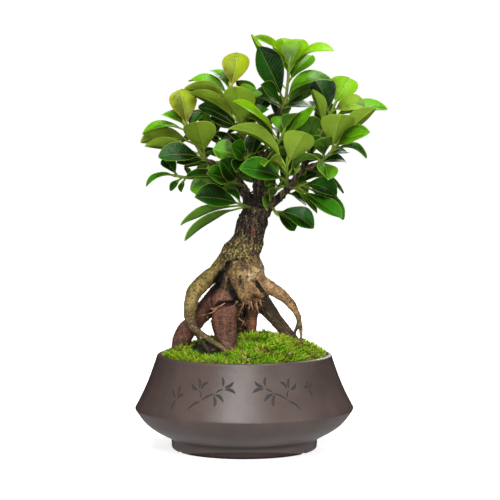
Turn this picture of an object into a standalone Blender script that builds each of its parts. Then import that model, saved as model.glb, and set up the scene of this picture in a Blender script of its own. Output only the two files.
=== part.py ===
"""Ginseng ficus in a low clay pot: a grafted fig tree with swollen roots over moss and soil.

Metres, +Z up, the front towards -Y. The origin is on the ground, at the middle of the whole
object's box. The turned pot has its own axis, a little left of the origin.
"""

import math
import random
from collections import namedtuple

import bmesh
import bpy
from mathutils import Matrix, Vector
from mathutils.bvhtree import BVHTree

MM = 0.001
GAP = 0.3 * MM
MERGE_DISTANCE = 0.004 * MM

# Pot: a turned bowl, radius and height in millimetres from its own axis and the ground
POT_AXIS_X = -17.25 * MM
POT_SIDES = 36
FOOT_OUTSIDE = ((70.0, 0.0), (72.6, 1.2), (73.3, 10.5))
BELLY_OUTSIDE = ((90.0, 19.5), (99.0, 26.2), (105.2, 34.0), (108.9, 39.6))
WALL_OUTSIDE = ((109.5, 42.4), (104.0, 52.2), (96.6, 68.0), (88.8, 90.0))
RIM = ((87.7, 93.8), (85.0, 95.4), (82.2, 93.6))
WALL_INSIDE = ((87.6, 75.4), (95.4, 56.6), (101.6, 43.5))
BELLY_INSIDE = ((96.0, 32.0), (76.0, 16.2), (72.0, 14.0))
FLOOR_TOP = 14.0
FLOOR_UNDER = 7.0
FOOT_INNER_RADIUS = 65.0
DRAIN_RADIUS = 9.0
NOTCH_WIDTH = 10.0
NOTCH_HEIGHT = 4.2
NOTCH_ANGLES = (86.5, 206.5, 326.5)
NOTCH_SIDES = 16
NOTCH_DEPTH = 14.0

# Soil and moss
WALL_GAP = 0.8
SOIL_WALL_TOP = 84.0
MOSS_EDGE_Z = 92.6
MOSS_RISE = 23.5
MOSS_FULLNESS = 0.66
MOSS_CROWN_SHIFT = 16.0
MOSS_HOLLOW_X = -23.0
MOSS_HOLLOW_Y = -29.0
MOSS_HOLLOW_WIDTH = 17.0
MOSS_HOLLOW_DEPTH = 13.0
MOSS_BUMP = 1.4
MOSS_RINGS = 7
MEETING_RINGS = (0.36, 0.70, 1.0)
MEETING_SHARE = 0.85
FILLING_SIDES = 28

# Trunk solid
LIMB_SIDES = 14
LIMB_STEPS = 4
TRUNK_VOXEL = 1.1 * MM
TRUNK_SOFTENING = 0.5
TRUNK_SOFTENING_ROUNDS = 3
TRUNK_TRIANGLES = 2250
TRUNK_CLEARANCE = 0.35 * MM

# Leaves
BLADE_THICKNESS = 0.8 * MM
CLEARING_MARGIN = 0.55 * MM
PETIOLE_PART = 0.15
PETIOLE_WIDTH = 2.2 * MM
TIP_WIDTH = 1.6 * MM
WIDEST_POWER = 1.36
ROUNDNESS = 0.72
FOLD = 0.16
LARGE_STATIONS = ((0.0, 2), (0.15, 2), (0.36, 3), (0.62, 3), (0.87, 3), (1.0, 1))
SMALL_STATIONS = ((0.0, 2), (0.16, 2), (0.52, 3), (0.86, 3), (1.0, 1))
SMALL_LEAF = 39.0
CLEAR_FROM = 0.07
LIMB_MARGIN = 0.9 * MM
LIMB_GUARD_SIDES = 8
STEM_GUARD_SIDES = 6
STEM_SIDES = 4
STEM_STEPS = 2
STEM_RADII = (1.8 * MM, 1.4 * MM)
BUD_LENGTH = 8 * MM
BUD_TIP_RADIUS = 0.4 * MM
GOLDEN_ANGLE = math.radians(137.5)

# How far a leaf's tip may be moved towards the viewer or away, in millimetres, how far the leaf
# may be turned about its length, in degrees, and how short it may get to clear the others
SHIFTS = (0, 4, -4, 8, -8, 12, -12, 17, -17, 23, -23, 30, -30, 38, -38)
TURNS = (0, 8, -8, 16, -16, 26, -26)
SHORTER = (1.0, 0.88, 0.76, 0.62)

# The tree's layout is drawn as seen from the front: a column and a row of a view of
# 500 by 500, in which one step at the pot's axis is one millimetre, and how much nearer
# to the viewer than that axis a point lies, in millimetres.
VIEW_DISTANCE = 2.2
VIEW_HEIGHT = 0.3599
VIEW_PITCH = math.radians(4.17)
VIEW_FOCAL = 2206.0
VIEW_MIDDLE = 250.0
VIEW_X = POT_AXIS_X + 5.7 * MM

# Limbs of the tree: column, row, nearer and diameter at each point
LIMBS = {
    "lower_trunk": ((253.5, 217, 0, 30), (250, 230, 0, 31), (248.2, 241, 1, 32),
                    (243, 252, 2, 39), (240.5, 264, 4, 46), (242, 277, 5, 47), (246, 288, 6, 34)),
    "fork_base": ((257, 206, 0, 22), (255, 214, 0, 27), (252, 224, 0, 31)),
    "crown_face": ((251, 268, 12, 30), (248, 280, 14, 30), (245, 292, 14, 22), (244.5, 300, 15, 15),
                   (244.5, 304, 15, 9)),
    "crown_stub": ((254, 283, 16, 20), (260, 291, 19, 13), (264.5, 296.5, 20, 8)),
    "left_shoulder": ((236, 248, 1, 22), (227, 260, 3, 20), (217, 272, 8, 18)),
    "left_outer_root": ((222, 270, 6, 18), (210, 277, 14, 17), (200.5, 285, 20, 16.5),
                        (193.5, 294, 23, 15.5), (191, 304, 24, 14.5), (190, 314, 25, 12.5),
                        (191.5, 323, 27, 9.5), (198, 331.5, 30, 7), (209, 339, 34, 6),
                        (221, 347, 37, 5.2), (231, 353.5, 39, 4.8), (239, 360, 40, 4.4)),
    "back_root": ((246, 258, -4, 26), (246, 273, -9, 28), (245, 288, -15, 25), (243, 305, -21, 20),
                  (241, 325, -27, 15), (240, 344, -30, 12)),
    "left_inner_root": ((243, 260, -3, 28), (239, 273, -4, 30), (228, 288, -2, 25.5),
                        (215.5, 299.5, -2, 22), (205, 310, -4, 20.5), (195, 320.5, -6, 19),
                        (186, 331.5, -7, 18), (180.5, 343, -8, 17), (178, 356, -9, 16),
                        (177, 368, -9, 14)),
    "centre_root": ((236, 276, 1, 20), (231, 291, 5, 22), (225.5, 305, 11, 24),
                    (224.6, 317, 15, 26), (225, 329, 18, 24.5), (226.5, 341, 21, 20),
                    (228, 352, 23, 17), (229, 364, 24, 15)),
    "middle_root": ((248, 280, -3, 20), (251, 295, -4, 18), (252, 308, -7, 14),
                    (251.5, 320, -9, 12), (251, 332, -10, 10), (250, 346, -11, 8)),
    "right_back_root": ((249, 264, -3, 24), (252, 279, -6, 24), (260, 298, -9, 20),
                        (271, 314, -12, 15.5), (281, 325.5, -15, 13), (289.5, 334.5, -17, 11),
                        (297, 345, -19, 9)),
    "right_outer_root": ((256, 280, 13, 18), (268, 286.5, 16, 14.5), (280.5, 294, 18, 12),
                         (290.5, 303.5, 19, 9.5), (296.5, 313, 20, 7), (299.8, 322, 21, 5),
                         (301, 332, 22, 3.8), (301.2, 344, 23, 3.2), (301.2, 356, 23, 2.8)),
    "right_side_root": ((299.3, 320, 21, 3.6), (296.4, 327, 21, 3.6), (294.6, 334, 20, 3.2),
                        (293.5, 346, 19, 2.8)),
    "left_string_root": ((190, 322, 24, 5), (194, 332, 21, 4.4), (203, 343.5, 20, 4.2),
                         (211, 353, 20, 4), (216, 362, 20, 3.6)),
    "left_fork": ((248, 216, 0, 16), (248.5, 205, -2, 12.5), (246, 193, -4, 9.5), (239, 181, -4, 8),
                  (228, 172, 2, 6.4), (216, 165.5, 8, 5.4), (207, 160, 11, 4.6)),
    "middle_fork": ((260.5, 214, 0, 17), (259.5, 203, -1, 13.5), (258.5, 192, -2, 11),
                    (257.5, 180, -3, 9.4), (257, 165, -3, 8.2), (256, 150, -3, 7),
                    (258, 138, -4, 6.2), (266, 127, -5, 5.6), (276, 116, -5, 5.2),
                    (283, 107.5, -5, 4.6)),
    "right_fork": ((263, 213, 2, 15), (270, 205.5, 4, 10.5), (277, 199.5, 8, 8.8),
                   (283.5, 194, 12, 7.8), (290, 187, 14, 6.8), (296, 178, 16, 6), (303, 171, 18, 5.4),
                   (311, 167.5, 19, 5), (318, 164, 20, 4.6)),
    "upper_left_limb": ((256.5, 158, -3, 6), (251, 148, 0, 5.4), (247, 140, 4, 4.8)),
    "front_limb": ((283, 195, 12, 5.6), (287, 188, 17, 4.8), (287.4, 183, 21, 4.4)),
    "middle_limb": ((257, 162, -3, 6), (263, 155, 6, 5), (269, 150, 15, 4.4)),
    "right_upper_limb": ((301, 172.5, 18, 5.2), (308, 160, 8, 5), (313.5, 147, -2, 4.6),
                         (317.5, 138, -8, 4.2)),
    "small_left_limb": ((224, 170, 4, 5), (214, 173, 9, 4.4), (206, 175.5, 12, 4)),
    "stub_limb": ((257.5, 199, 0, 7), (264.5, 193.5, 2, 5.6), (271.5, 190.5, 4, 4.4)),
    "back_middle_limb": ((258, 190, -2, 9), (262, 176, -16, 7), (268, 161, -30, 5.6),
                         (273, 150, -40, 4.8)),
    "back_left_limb": ((247.5, 200, -3, 9), (238, 185, -16, 6.6), (229, 168, -30, 5.4),
                       (224, 154, -40, 4.6)),
    "back_right_limb": ((283, 194, 10, 7), (290, 184, -6, 6), (298, 173, -22, 5.4),
                        (305, 161, -34, 4.6)),
    "back_high_limb": ((256.5, 154, -3, 6.4), (254.5, 143, -14, 5.2), (254, 132, -24, 4.6)),
    "back_low_left_limb": ((251, 209, -6, 11), (248, 199, -22, 6.6), (245, 189, -36, 5.4),
                           (242, 181, -46, 4.6)),
    "back_low_right_limb": ((261, 205, -5, 9), (270, 196, -22, 6.4), (278, 188, -36, 5.4),
                            (283, 182, -45, 4.6)),
}

# A leafy shoot: its stem from a limb to the bud, as column, row and nearer, then its leaves.
# A leaf starts at a part of the stem's length and points to a column and a row. Its reach is
# its length, negative where it points away from the viewer. Face is the turn of the upper
# side from straight up (0) to the viewer (90) or away (-90).
Leaf = namedtuple("Leaf", "start column row reach width face arch")

SHOOTS = {
    "spray_front": (((287.4, 187, 19), (287, 174, 30), (287, 163, 36)), (
        Leaf(0.80, 305, 132, 46, 31, -75, 0.06),
        Leaf(0.70, 228, 128, 66, 24, -35, 0.20),
        Leaf(0.25, 239, 168, 54, 27, 55, 0.10),
        Leaf(0.55, 264, 166, 32, 19, -30, 0.26),
        Leaf(0.40, 320, 160, 44, 23, -25, 0.24),
        Leaf(0.95, 318, 143, -40, 22, 40, 0.12))),
    "spray_middle": (((266, 152.5, 10), (277, 145, 24), (283, 134, 31)), (
        Leaf(0.80, 287, 118, -40, 28, 75, 0.05),
        Leaf(0.65, 233, 101, 66, 22, 20, 0.08),
        Leaf(0.45, 243, 115.6, 50, 24, -20, 0.18),
        Leaf(0.70, 315, 106, 46, 20, 30, -0.06),
        Leaf(0.90, 302, 113, -42, 22, 30, 0.14))),
    "spray_top": (((281, 110, -5), (286, 97, -5), (289.5, 64, -5)), (
        Leaf(0.62, 251.4, 33.8, 59, 24, 14, -0.06),
        Leaf(0.34, 258, 46, -58, 30, 70, 0.04),
        Leaf(0.78, 283, 38, -44, 30, 72, 0.06),
        Leaf(0.82, 303, 39, -46, 29, 66, 0.08),
        Leaf(0.86, 334, 50, 46, 22, 22, 0.18),
        Leaf(0.70, 312, 55, -42, 27, 50, 0.05),
        Leaf(0.28, 332, 80, 54, 25, 35, 0.26),
        Leaf(0.20, 317, 86, -42, 22, -50, 0.08),
        Leaf(0.12, 261, 84.6, 40, 22, 40, 0.05),
        Leaf(0.08, 311, 107, -42, 22, 40, 0.08),
        Leaf(0.05, 261, 97, -36, 22, 45, 0.08))),
    "spray_upper_left": (((248.5, 143, 2.5), (239.5, 126, 8), (230.5, 89, 8)), (
        Leaf(0.97, 239, 52.7, -45, 28, 80, 0.04),
        Leaf(0.86, 188.5, 80.5, -50, 21, 35, 0.16),
        Leaf(0.95, 212, 70, -36, 21, 40, 0.10),
        Leaf(0.66, 184, 88, 57, 25, -38, 0.16),
        Leaf(0.54, 189, 92.5, 54, 22, -34, 0.10),
        Leaf(0.36, 236, 86, 52, 32, -78, 0.06),
        Leaf(0.76, 258, 90, -40, 24, 60, 0.08),
        Leaf(0.48, 267, 108, -40, 22, 45, 0.10),
        Leaf(0.34, 198, 106, 43, 25, 48, 0.12),
        Leaf(0.26, 209, 118, -36, 22, 40, 0.10))),
    "spray_left": (((210, 162, 10.5), (201.5, 154, 14), (186, 126, 10)), (
        Leaf(0.94, 180, 89, -46, 28, 80, 0.04),
        Leaf(0.90, 142, 134, 46, 20, 25, 0.16),
        Leaf(0.98, 163, 114, -34, 21, 40, 0.12),
        Leaf(0.66, 140, 142, 52, 25, -38, 0.15),
        Leaf(0.46, 144.6, 146, 52, 22, -34, 0.08),
        Leaf(0.34, 196, 121.5, 45, 33, -78, 0.06),
        Leaf(0.28, 158, 157, 44, 26, 50, 0.12),
        Leaf(0.20, 176.5, 163, 32, 21, 40, 0.06),
        Leaf(0.92, 201, 112, -28, 16, 50, 0.06))),
    "spray_right": (((314, 165.5, 19.5), (324, 159, 21), (334, 148, 21)), (
        Leaf(0.88, 342, 114, 49, 34, -76, 0.05),
        Leaf(0.98, 376, 107, 62, 23, -42, 0.06),
        Leaf(0.92, 370, 132, 47, 23, 42, 0.10),
        Leaf(0.50, 325, 137, 32, 20, -70, 0.06),
        Leaf(0.86, 367, 158, 46, 20, 22, 0.22),
        Leaf(0.40, 328, 180, 36, 22, 62, 0.08),
        Leaf(0.60, 347, 152, -30, 17, 40, 0.10),
        Leaf(0.55, 312, 136, -30, 17, 45, 0.05))),
    "spray_right_upper": (((316, 142, -5), (325, 126, -10), (334, 106, -10)), (
        Leaf(0.72, 313, 78, -50, 31, 62, 0.14),
        Leaf(0.96, 350, 78, -38, 30, 70, 0.06),
        Leaf(0.82, 365, 106, 38, 24, 45, 0.16),
        Leaf(0.60, 388, 109, 54, 22, 40, 0.14),
        Leaf(0.45, 313, 89, 42, 18, -40, 0.04),
        Leaf(0.35, 301, 127, -34, 25, 55, 0.08),
        Leaf(0.55, 309, 101, -36, 23, 45, 0.06))),
    "spray_small_left": (((208, 174.8, 11), (192, 178, 15), (177, 176, 17)), (
        Leaf(0.97, 163, 159, -26, 16, 60, 0.05),
        Leaf(0.90, 145.5, 186, 31, 14, 22, 0.18),
        Leaf(0.80, 170, 191, 16, 9, 50, 0.05),
        Leaf(0.70, 181, 192, 16, 9, 40, 0.05),
        Leaf(0.60, 186, 167, -14, 8, 50, 0.05))),
    "spray_low_left": (((252, 208, 6), (247, 206.5, 13), (242, 205, 19)), (
        Leaf(0.80, 194.5, 197, 54, 29, 50, 0.08),
        Leaf(0.95, 180, 225, 68, 18, -30, 0.08),
        Leaf(0.55, 184, 241, 70, 17, -32, 0.10),
        Leaf(0.98, 225, 189, -26, 14, 35, 0.08))),
    "spray_mid_left": (((243, 186, -1), (236, 183, 10), (229, 181, 18)), (
        Leaf(0.92, 190, 190, 42, 25, 64, 0.06),
        Leaf(0.75, 207, 174, 36, 22, 55, 0.06),
        Leaf(0.60, 185, 177, -48, 18, 35, 0.10),
        Leaf(0.45, 220, 160, 38, 25, 60, 0.08),
        Leaf(0.85, 210, 200, -34, 20, 40, 0.10))),
    "spray_inner_left": (((257, 171, -1), (250, 163, 10), (243, 157, 18)), (
        Leaf(0.90, 212.5, 149, 34, 23, 64, 0.06),
        Leaf(0.75, 231, 145, 30, 22, 55, 0.06),
        Leaf(0.60, 236, 172, 30, 20, 50, 0.10),
        Leaf(0.98, 210, 132, -44, 20, 32, 0.08),
        Leaf(0.80, 227, 133, -36, 20, 36, 0.08),
        Leaf(0.85, 264, 145, -30, 19, 45, 0.05),
        Leaf(0.50, 258, 132, -34, 20, 40, 0.05))),
    "spray_low_right": (((270, 204, 6), (273, 208.5, 12), (275, 211.5, 15)), (
        Leaf(0.95, 314, 228.5, 45, 25, 52, 0.16),
        Leaf(0.70, 295, 231, 31, 18, 58, 0.12))),
    "spray_right_low": (((290, 189, 13), (299, 186, 10), (306, 184, 8)), (
        Leaf(0.55, 337, 196, 44, 25, 42, 0.16),
        Leaf(0.90, 344, 193, -42, 17, 30, 0.20),
        Leaf(0.70, 344, 220, 56, 22, 40, 0.10),
        Leaf(0.80, 343, 212, -46, 14, 25, 0.14),
        Leaf(0.30, 315, 172, -32, 20, 45, 0.05))),
    "spray_stub": (((268, 192.2, 3), (276, 189, 8), (281, 187, 12)), (
        Leaf(0.75, 256, 167, 36, 22, 45, 0.06),
        Leaf(0.50, 267, 211, 28, 15, -30, 0.14),
        Leaf(0.95, 270, 201, -30, 17, 35, 0.10))),
}

# Shoots that stand inside the crown and behind: stem, number of leaves, the first leaf's turn in
# degrees, and the shortest and the longest leaf in millimetres
BACK_SHOOTS = {
    "spray_inner_middle": (((262, 133, -4), (265, 142, -14), (268, 150, -20)), 5, 60, (40, 52)),
    "spray_inner_right": (((306, 163, 10), (304, 154, 2), (303, 146, -6)), 5, 100, (40, 52)),
    "spray_back_middle": (((271, 154, -37), (277, 140, -46), (280, 124, -52)), 7, 20, (40, 52)),
    "spray_back_left": (((226, 159, -37), (220, 146, -44), (216, 132, -48)), 7, 70, (40, 52)),
    "spray_back_right": (((303, 164, -31), (309, 152, -40), (313, 138, -46)), 7, 130, (40, 52)),
    "spray_back_high": (((254, 136, -21), (254, 126, -30), (255, 114, -36)), 6, 200, (40, 52)),
    "spray_back_low_left": (((243, 184, -43), (239, 174, -54), (236, 162, -60)), 6, 310, (40, 52)),
    "spray_back_low_right": (((281, 184, -42), (288, 174, -54), (292, 162, -60)), 6, 40, (40, 52)),
    "spray_inner_high": (((253, 148, -6), (244, 138, -12), (236, 127, -16)), 6, 150, (32, 39)),
    "spray_inner_fork": (((242, 185, -6), (236, 173, -14), (231, 160, -20)), 6, 20, (32, 39)),
    "spray_inner_low_right": (((290, 187, 9), (295, 175, 2), (299, 162, -4)), 6, 250, (32, 39)),
}
BACK_LEAF_WIDTH = 0.52
BACK_LEAF_LEAN = (88.0, 42.0)
BACK_LEAF_SWAY = 8.0
BACK_LEAF_SHORTENING = 0.15
BACK_LEAF_ARCH = (0.05, 0.16)
BACK_STEM_PART = (0.25, 0.97)
BACK_SEED = 7

# Creases sharper than these, in degrees, stay sharp
POT_CREASE = 30.0
FILLING_CREASE = 40.0
TRUNK_CREASE = 60.0
SPRAY_CREASE = 35.0

# Bark, leaf, clay, soil and moss: colour and roughness
CLAY = ((0.115, 0.080, 0.070), 0.75)
EARTH = ((0.045, 0.030, 0.020), 0.95)
MOSS = ((0.130, 0.320, 0.030), 0.90)
BARK = ((0.180, 0.120, 0.060), 0.85)
LEAF_GREENS = (((0.060, 0.210, 0.025), 0.40), ((0.120, 0.330, 0.030), 0.40),
               ((0.200, 0.400, 0.040), 0.42))


def clear_scene():
    """Starts from an empty file."""
    for old in list(bpy.data.objects):
        bpy.data.objects.remove(old, do_unlink=True)


def material(name, finish):
    """A plain Principled finish for one sub-part."""
    colour, roughness = finish
    made = bpy.data.materials.new(name)
    made.use_nodes = True
    shader = made.node_tree.nodes["Principled BSDF"]
    shader.inputs["Base Color"].default_value = (*colour, 1.0)
    shader.inputs["Roughness"].default_value = roughness
    shader.inputs["Metallic"].default_value = 0.0
    return made


def new_object(name, vertices, faces):
    """An object from points and faces, linked to the scene."""
    mesh = bpy.data.meshes.new(name)
    mesh.from_pydata([tuple(point) for point in vertices], [], faces)
    mesh.validate()
    made = bpy.data.objects.new(name, mesh)
    bpy.context.scene.collection.objects.link(made)
    return made


def apply_modifiers(target):
    """Puts the evaluated shape into the object's own mesh."""
    bpy.context.view_layer.update()
    graph = bpy.context.evaluated_depsgraph_get()
    applied = bpy.data.meshes.new_from_object(target.evaluated_get(graph))
    target.modifiers.clear()
    old = target.data
    target.data = applied
    bpy.data.meshes.remove(old)


def keep_largest_body(target):
    """Keeps the largest shell, so that sealed hollows are filled and loose scraps dropped."""
    shape = bmesh.new()
    shape.from_mesh(target.data)
    bmesh.ops.remove_doubles(shape, verts=shape.verts, dist=MERGE_DISTANCE)
    bmesh.ops.dissolve_degenerate(shape, edges=shape.edges, dist=MERGE_DISTANCE)
    bmesh.ops.triangulate(shape, faces=shape.faces)
    left = set(shape.faces)
    bodies = []
    while left:
        body = [left.pop()]
        for face in body:
            for edge in face.edges:
                for other in edge.link_faces:
                    if other in left:
                        left.remove(other)
                        body.append(other)
        bodies.append(body)
    bodies.sort(key=lambda body: sum(face.calc_area() for face in body), reverse=True)
    scraps = [face for body in bodies[1:] for face in body]
    bmesh.ops.delete(shape, geom=scraps, context="FACES")
    loose = [point for point in shape.verts if not point.link_faces]
    bmesh.ops.delete(shape, geom=loose, context="VERTS")
    shape.to_mesh(target.data)
    shape.free()


def shade_round(target, angle):
    """Smooth shading with creases kept that are sharper than an angle in degrees."""
    target.data.shade_smooth()
    target.data.set_sharp_from_angle(angle=math.radians(angle))


def cut(target, cutter):
    """Takes the cutter's shape out of the target."""
    boolean = target.modifiers.new("cut", "BOOLEAN")
    boolean.operation = "DIFFERENCE"
    boolean.solver = "EXACT"
    boolean.object = cutter
    apply_modifiers(target)


def fuse(target, pieces):
    """Joins the pieces to the target with one Boolean union, and removes them."""
    group = bpy.data.collections.new(target.name + "_pieces")
    bpy.context.scene.collection.children.link(group)
    for piece in pieces:
        bpy.context.scene.collection.objects.unlink(piece)
        group.objects.link(piece)
    boolean = target.modifiers.new("fuse", "BOOLEAN")
    boolean.operation = "UNION"
    boolean.solver = "EXACT"
    boolean.operand_type = "COLLECTION"
    boolean.collection = group
    apply_modifiers(target)
    for piece in pieces:
        bpy.data.objects.remove(piece, do_unlink=True)
    bpy.data.collections.remove(group)


def seen(column, row, nearer):
    """The point that shows at a column and a row of the front view."""
    eye = Vector((VIEW_X, -VIEW_DISTANCE, VIEW_HEIGHT))
    ahead = Vector((0.0, math.cos(VIEW_PITCH), -math.sin(VIEW_PITCH)))
    above = Vector((0.0, math.sin(VIEW_PITCH), math.cos(VIEW_PITCH)))
    ray = ahead.copy()
    ray.x += (column - VIEW_MIDDLE) / VIEW_FOCAL
    ray += above * ((VIEW_MIDDLE - row) / VIEW_FOCAL)
    return eye + ray * ((-nearer * MM - eye.y) / ray.y)


def smooth_path(points, steps):
    """Points along a smooth curve through the given points, each a tuple of numbers."""
    ends = [points[0]] + list(points) + [points[-1]]
    path = []
    for index in range(len(points) - 1):
        before, start, end, after = ends[index:index + 4]
        for step in range(steps):
            t = step / steps
            path.append(tuple(
                0.5 * (2 * b + (c - a) * t + (2 * a - 5 * b + 4 * c - d) * t * t
                       + (3 * b - a - 3 * c + d) * t * t * t)
                for a, b, c, d in zip(before, start, end, after)))
    path.append(tuple(points[-1]))
    return path


def tube(centres, radii, sides):
    """A closed round tube along a path, as points and faces."""
    vertices = []
    faces = []
    across = None
    for index, centre in enumerate(centres):
        behind = centres[max(index - 1, 0)]
        ahead = centres[min(index + 1, len(centres) - 1)]
        along = (ahead - behind).normalized()
        if across is None:
            across = along.orthogonal().normalized()
        across = (across - along * across.dot(along)).normalized()
        beside = along.cross(across)
        for side in range(sides):
            angle = math.tau * side / sides
            offset = across * math.cos(angle) + beside * math.sin(angle)
            vertices.append(centre + offset * radii[index])
    for ring in range(len(centres) - 1):
        for side in range(sides):
            following = (side + 1) % sides
            low = ring * sides
            high = low + sides
            faces.append((low + side, low + following, high + following, high + side))
    faces.append(tuple(reversed(range(sides))))
    last = (len(centres) - 1) * sides
    faces.append(tuple(range(last, last + sides)))
    return vertices, faces


def turned(name, profile, sides):
    """A closed body of revolution about the pot's axis. The profile runs up the outside and
    back down the inside; a radius of 0 closes on the axis."""
    vertices = []
    rings = []
    for radius, height in profile:
        ring = []
        count = 1 if radius == 0 else sides
        for side in range(count):
            angle = math.tau * side / sides
            ring.append(len(vertices))
            vertices.append((POT_AXIS_X + radius * MM * math.cos(angle),
                             radius * MM * math.sin(angle), height * MM))
        rings.append(ring)
    faces = []
    pairs = list(zip(rings, rings[1:]))
    if profile[0][0] > 0:
        pairs.append((rings[-1], rings[0]))
    for low, high in pairs:
        for side in range(sides):
            following = (side + 1) % sides
            corners = (low[side % len(low)], low[following % len(low)],
                       high[following % len(high)], high[side % len(high)])
            faces.append(tuple(dict.fromkeys(corners)))
    return new_object(name, vertices, [face for face in faces if len(face) > 2])


def make_pot():
    """The clay bowl with its foot ring, notches and drain hole."""
    floor = ((DRAIN_RADIUS, FLOOR_TOP), (DRAIN_RADIUS, FLOOR_UNDER),
             (FOOT_INNER_RADIUS, FLOOR_UNDER), (FOOT_INNER_RADIUS, 0.0))
    profile = FOOT_OUTSIDE + BELLY_OUTSIDE + WALL_OUTSIDE + RIM + WALL_INSIDE + BELLY_INSIDE + floor
    pot = turned("pot", profile, POT_SIDES)
    wall_middle = (FOOT_INNER_RADIUS + FOOT_OUTSIDE[-1][0]) / 2
    for angle in NOTCH_ANGLES:
        turn = math.radians(angle)
        place = Vector((POT_AXIS_X + wall_middle * MM * math.cos(turn),
                        wall_middle * MM * math.sin(turn), 0.0))
        bpy.ops.mesh.primitive_cylinder_add(vertices=NOTCH_SIDES, radius=NOTCH_WIDTH / 2 * MM,
                                            depth=NOTCH_DEPTH * MM)
        notch = bpy.context.object
        lying = Matrix.Rotation(turn, 4, "Z") @ Matrix.Rotation(math.radians(90), 4, "Y")
        flat = Matrix.Diagonal((NOTCH_HEIGHT / (NOTCH_WIDTH / 2), 1.0, 1.0, 1.0))
        notch.data.transform(Matrix.Translation(place) @ lying @ flat)
        notch.name = "notch_cutter"
        cut(pot, notch)
        bpy.data.objects.remove(notch, do_unlink=True)
    keep_largest_body(pot)
    shade_round(pot, POT_CREASE)
    pot.data.materials.append(material("clay", CLAY))
    return pot


def inside_radius(height):
    """The bowl's inner radius at a height, both in millimetres."""
    points = sorted(WALL_INSIDE + BELLY_INSIDE + RIM[-1:], key=lambda point: point[1])
    for (low_radius, low), (high_radius, high) in zip(points, points[1:]):
        if low <= height <= high:
            return low_radius + (high_radius - low_radius) * (height - low) / (high - low)
    return points[-1][0]


def moss_height(x, y):
    """The moss cushion's top in millimetres, from places on the pot's axis frame."""
    edge = inside_radius(MOSS_EDGE_Z) - WALL_GAP
    radius = min(math.hypot(x, y) / edge, 1.0)
    shifted = math.hypot(x - MOSS_CROWN_SHIFT * (1 - radius), y) / edge
    dome = MOSS_RISE * max(1 - shifted ** 2, 0.0) ** MOSS_FULLNESS
    hollow = math.hypot((x - MOSS_HOLLOW_X) / MOSS_HOLLOW_WIDTH, (y - MOSS_HOLLOW_Y) / MOSS_HOLLOW_WIDTH)
    dome -= MOSS_HOLLOW_DEPTH * math.exp(-hollow ** 2 / 2) * (1 - radius ** 4)
    bumps = math.sin(0.16 * x + 1.3) * math.cos(0.19 * y) + 0.6 * math.sin(0.31 * x - 0.27 * y)
    return MOSS_EDGE_Z + dome + MOSS_BUMP * bumps * (1 - radius ** 4)


def disc(radii, height, sides):
    """Points and upward triangles of a round sheet whose height follows a function."""
    vertices = [(POT_AXIS_X, 0.0, height(0.0, 0.0) * MM)]
    for radius in radii:
        for side in range(sides):
            angle = math.tau * side / sides
            x = radius * math.cos(angle)
            y = radius * math.sin(angle)
            vertices.append((POT_AXIS_X + x * MM, y * MM, height(x, y) * MM))
    faces = []
    for side in range(sides):
        following = (side + 1) % sides
        faces.append((0, 1 + side, 1 + following))
        for ring in range(len(radii) - 1):
            inner = 1 + ring * sides
            outer = inner + sides
            faces.append((inner + side, outer + side, outer + following))
            faces.append((inner + side, outer + following, inner + following))
    return vertices, faces


def make_filling(name, lower, wall, upper, finish):
    """A closed body between a lower and an upper disc, with rings of radius and height
    between their rims."""
    sides = FILLING_SIDES
    vertices, faces = disc(*lower, sides)
    faces = [tuple(reversed(face)) for face in faces]
    rims = [len(vertices) - sides]
    for radius, height in wall:
        rims.append(len(vertices))
        vertices += disc([radius], lambda x, y: height, sides)[0][1:]
    first = len(vertices)
    top_vertices, top_faces = disc(*upper, sides)
    vertices += top_vertices
    faces += [tuple(index + first for index in face) for face in top_faces]
    rims.append(len(vertices) - sides)
    for low, high in zip(rims, rims[1:]):
        for side in range(sides):
            following = (side + 1) % sides
            faces.append((low + side, low + following, high + following))
            faces.append((low + side, high + following, high + side))
    made = new_object(name, vertices, faces)
    made.data.materials.append(material(name, finish))
    return made


def meeting_height(x, y):
    """The height in millimetres where the moss lies on the soil."""
    return SOIL_WALL_TOP + (moss_height(x, y) - MOSS_EDGE_Z) * MEETING_SHARE


def make_soil():
    """The potting soil that fills the bowl under the moss."""
    gap = GAP / MM
    heights = sorted(height for _, height in WALL_INSIDE + BELLY_INSIDE)
    wall = [(inside_radius(height) - WALL_GAP, height) for height in heights[1:]]
    floor_edge = BELLY_INSIDE[-1][0] - WALL_GAP
    edge = inside_radius(SOIL_WALL_TOP) - WALL_GAP
    return make_filling("soil", ([floor_edge], lambda x, y: FLOOR_TOP + gap), wall,
                        ([edge * part for part in MEETING_RINGS], meeting_height), EARTH)


def make_moss():
    """The moss cushion: a layer over the soil with a rolling top."""
    gap = GAP / MM
    edge = inside_radius(SOIL_WALL_TOP) - WALL_GAP
    rim = inside_radius(MOSS_EDGE_Z) - WALL_GAP
    lower = ([edge * part for part in MEETING_RINGS], lambda x, y: meeting_height(x, y) + 2 * gap)
    upper = ([rim * (ring + 1) / MOSS_RINGS for ring in range(MOSS_RINGS)], moss_height)
    return make_filling("moss", lower, [], upper, MOSS)


def limb_path(limb):
    """A limb's centre points and radii, smoothed."""
    points = smooth_path(LIMBS[limb], LIMB_STEPS)
    centres = [seen(column, row, nearer) for column, row, nearer, _ in points]
    radii = [diameter / 2 * MM for *_, diameter in points]
    return centres, radii


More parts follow.
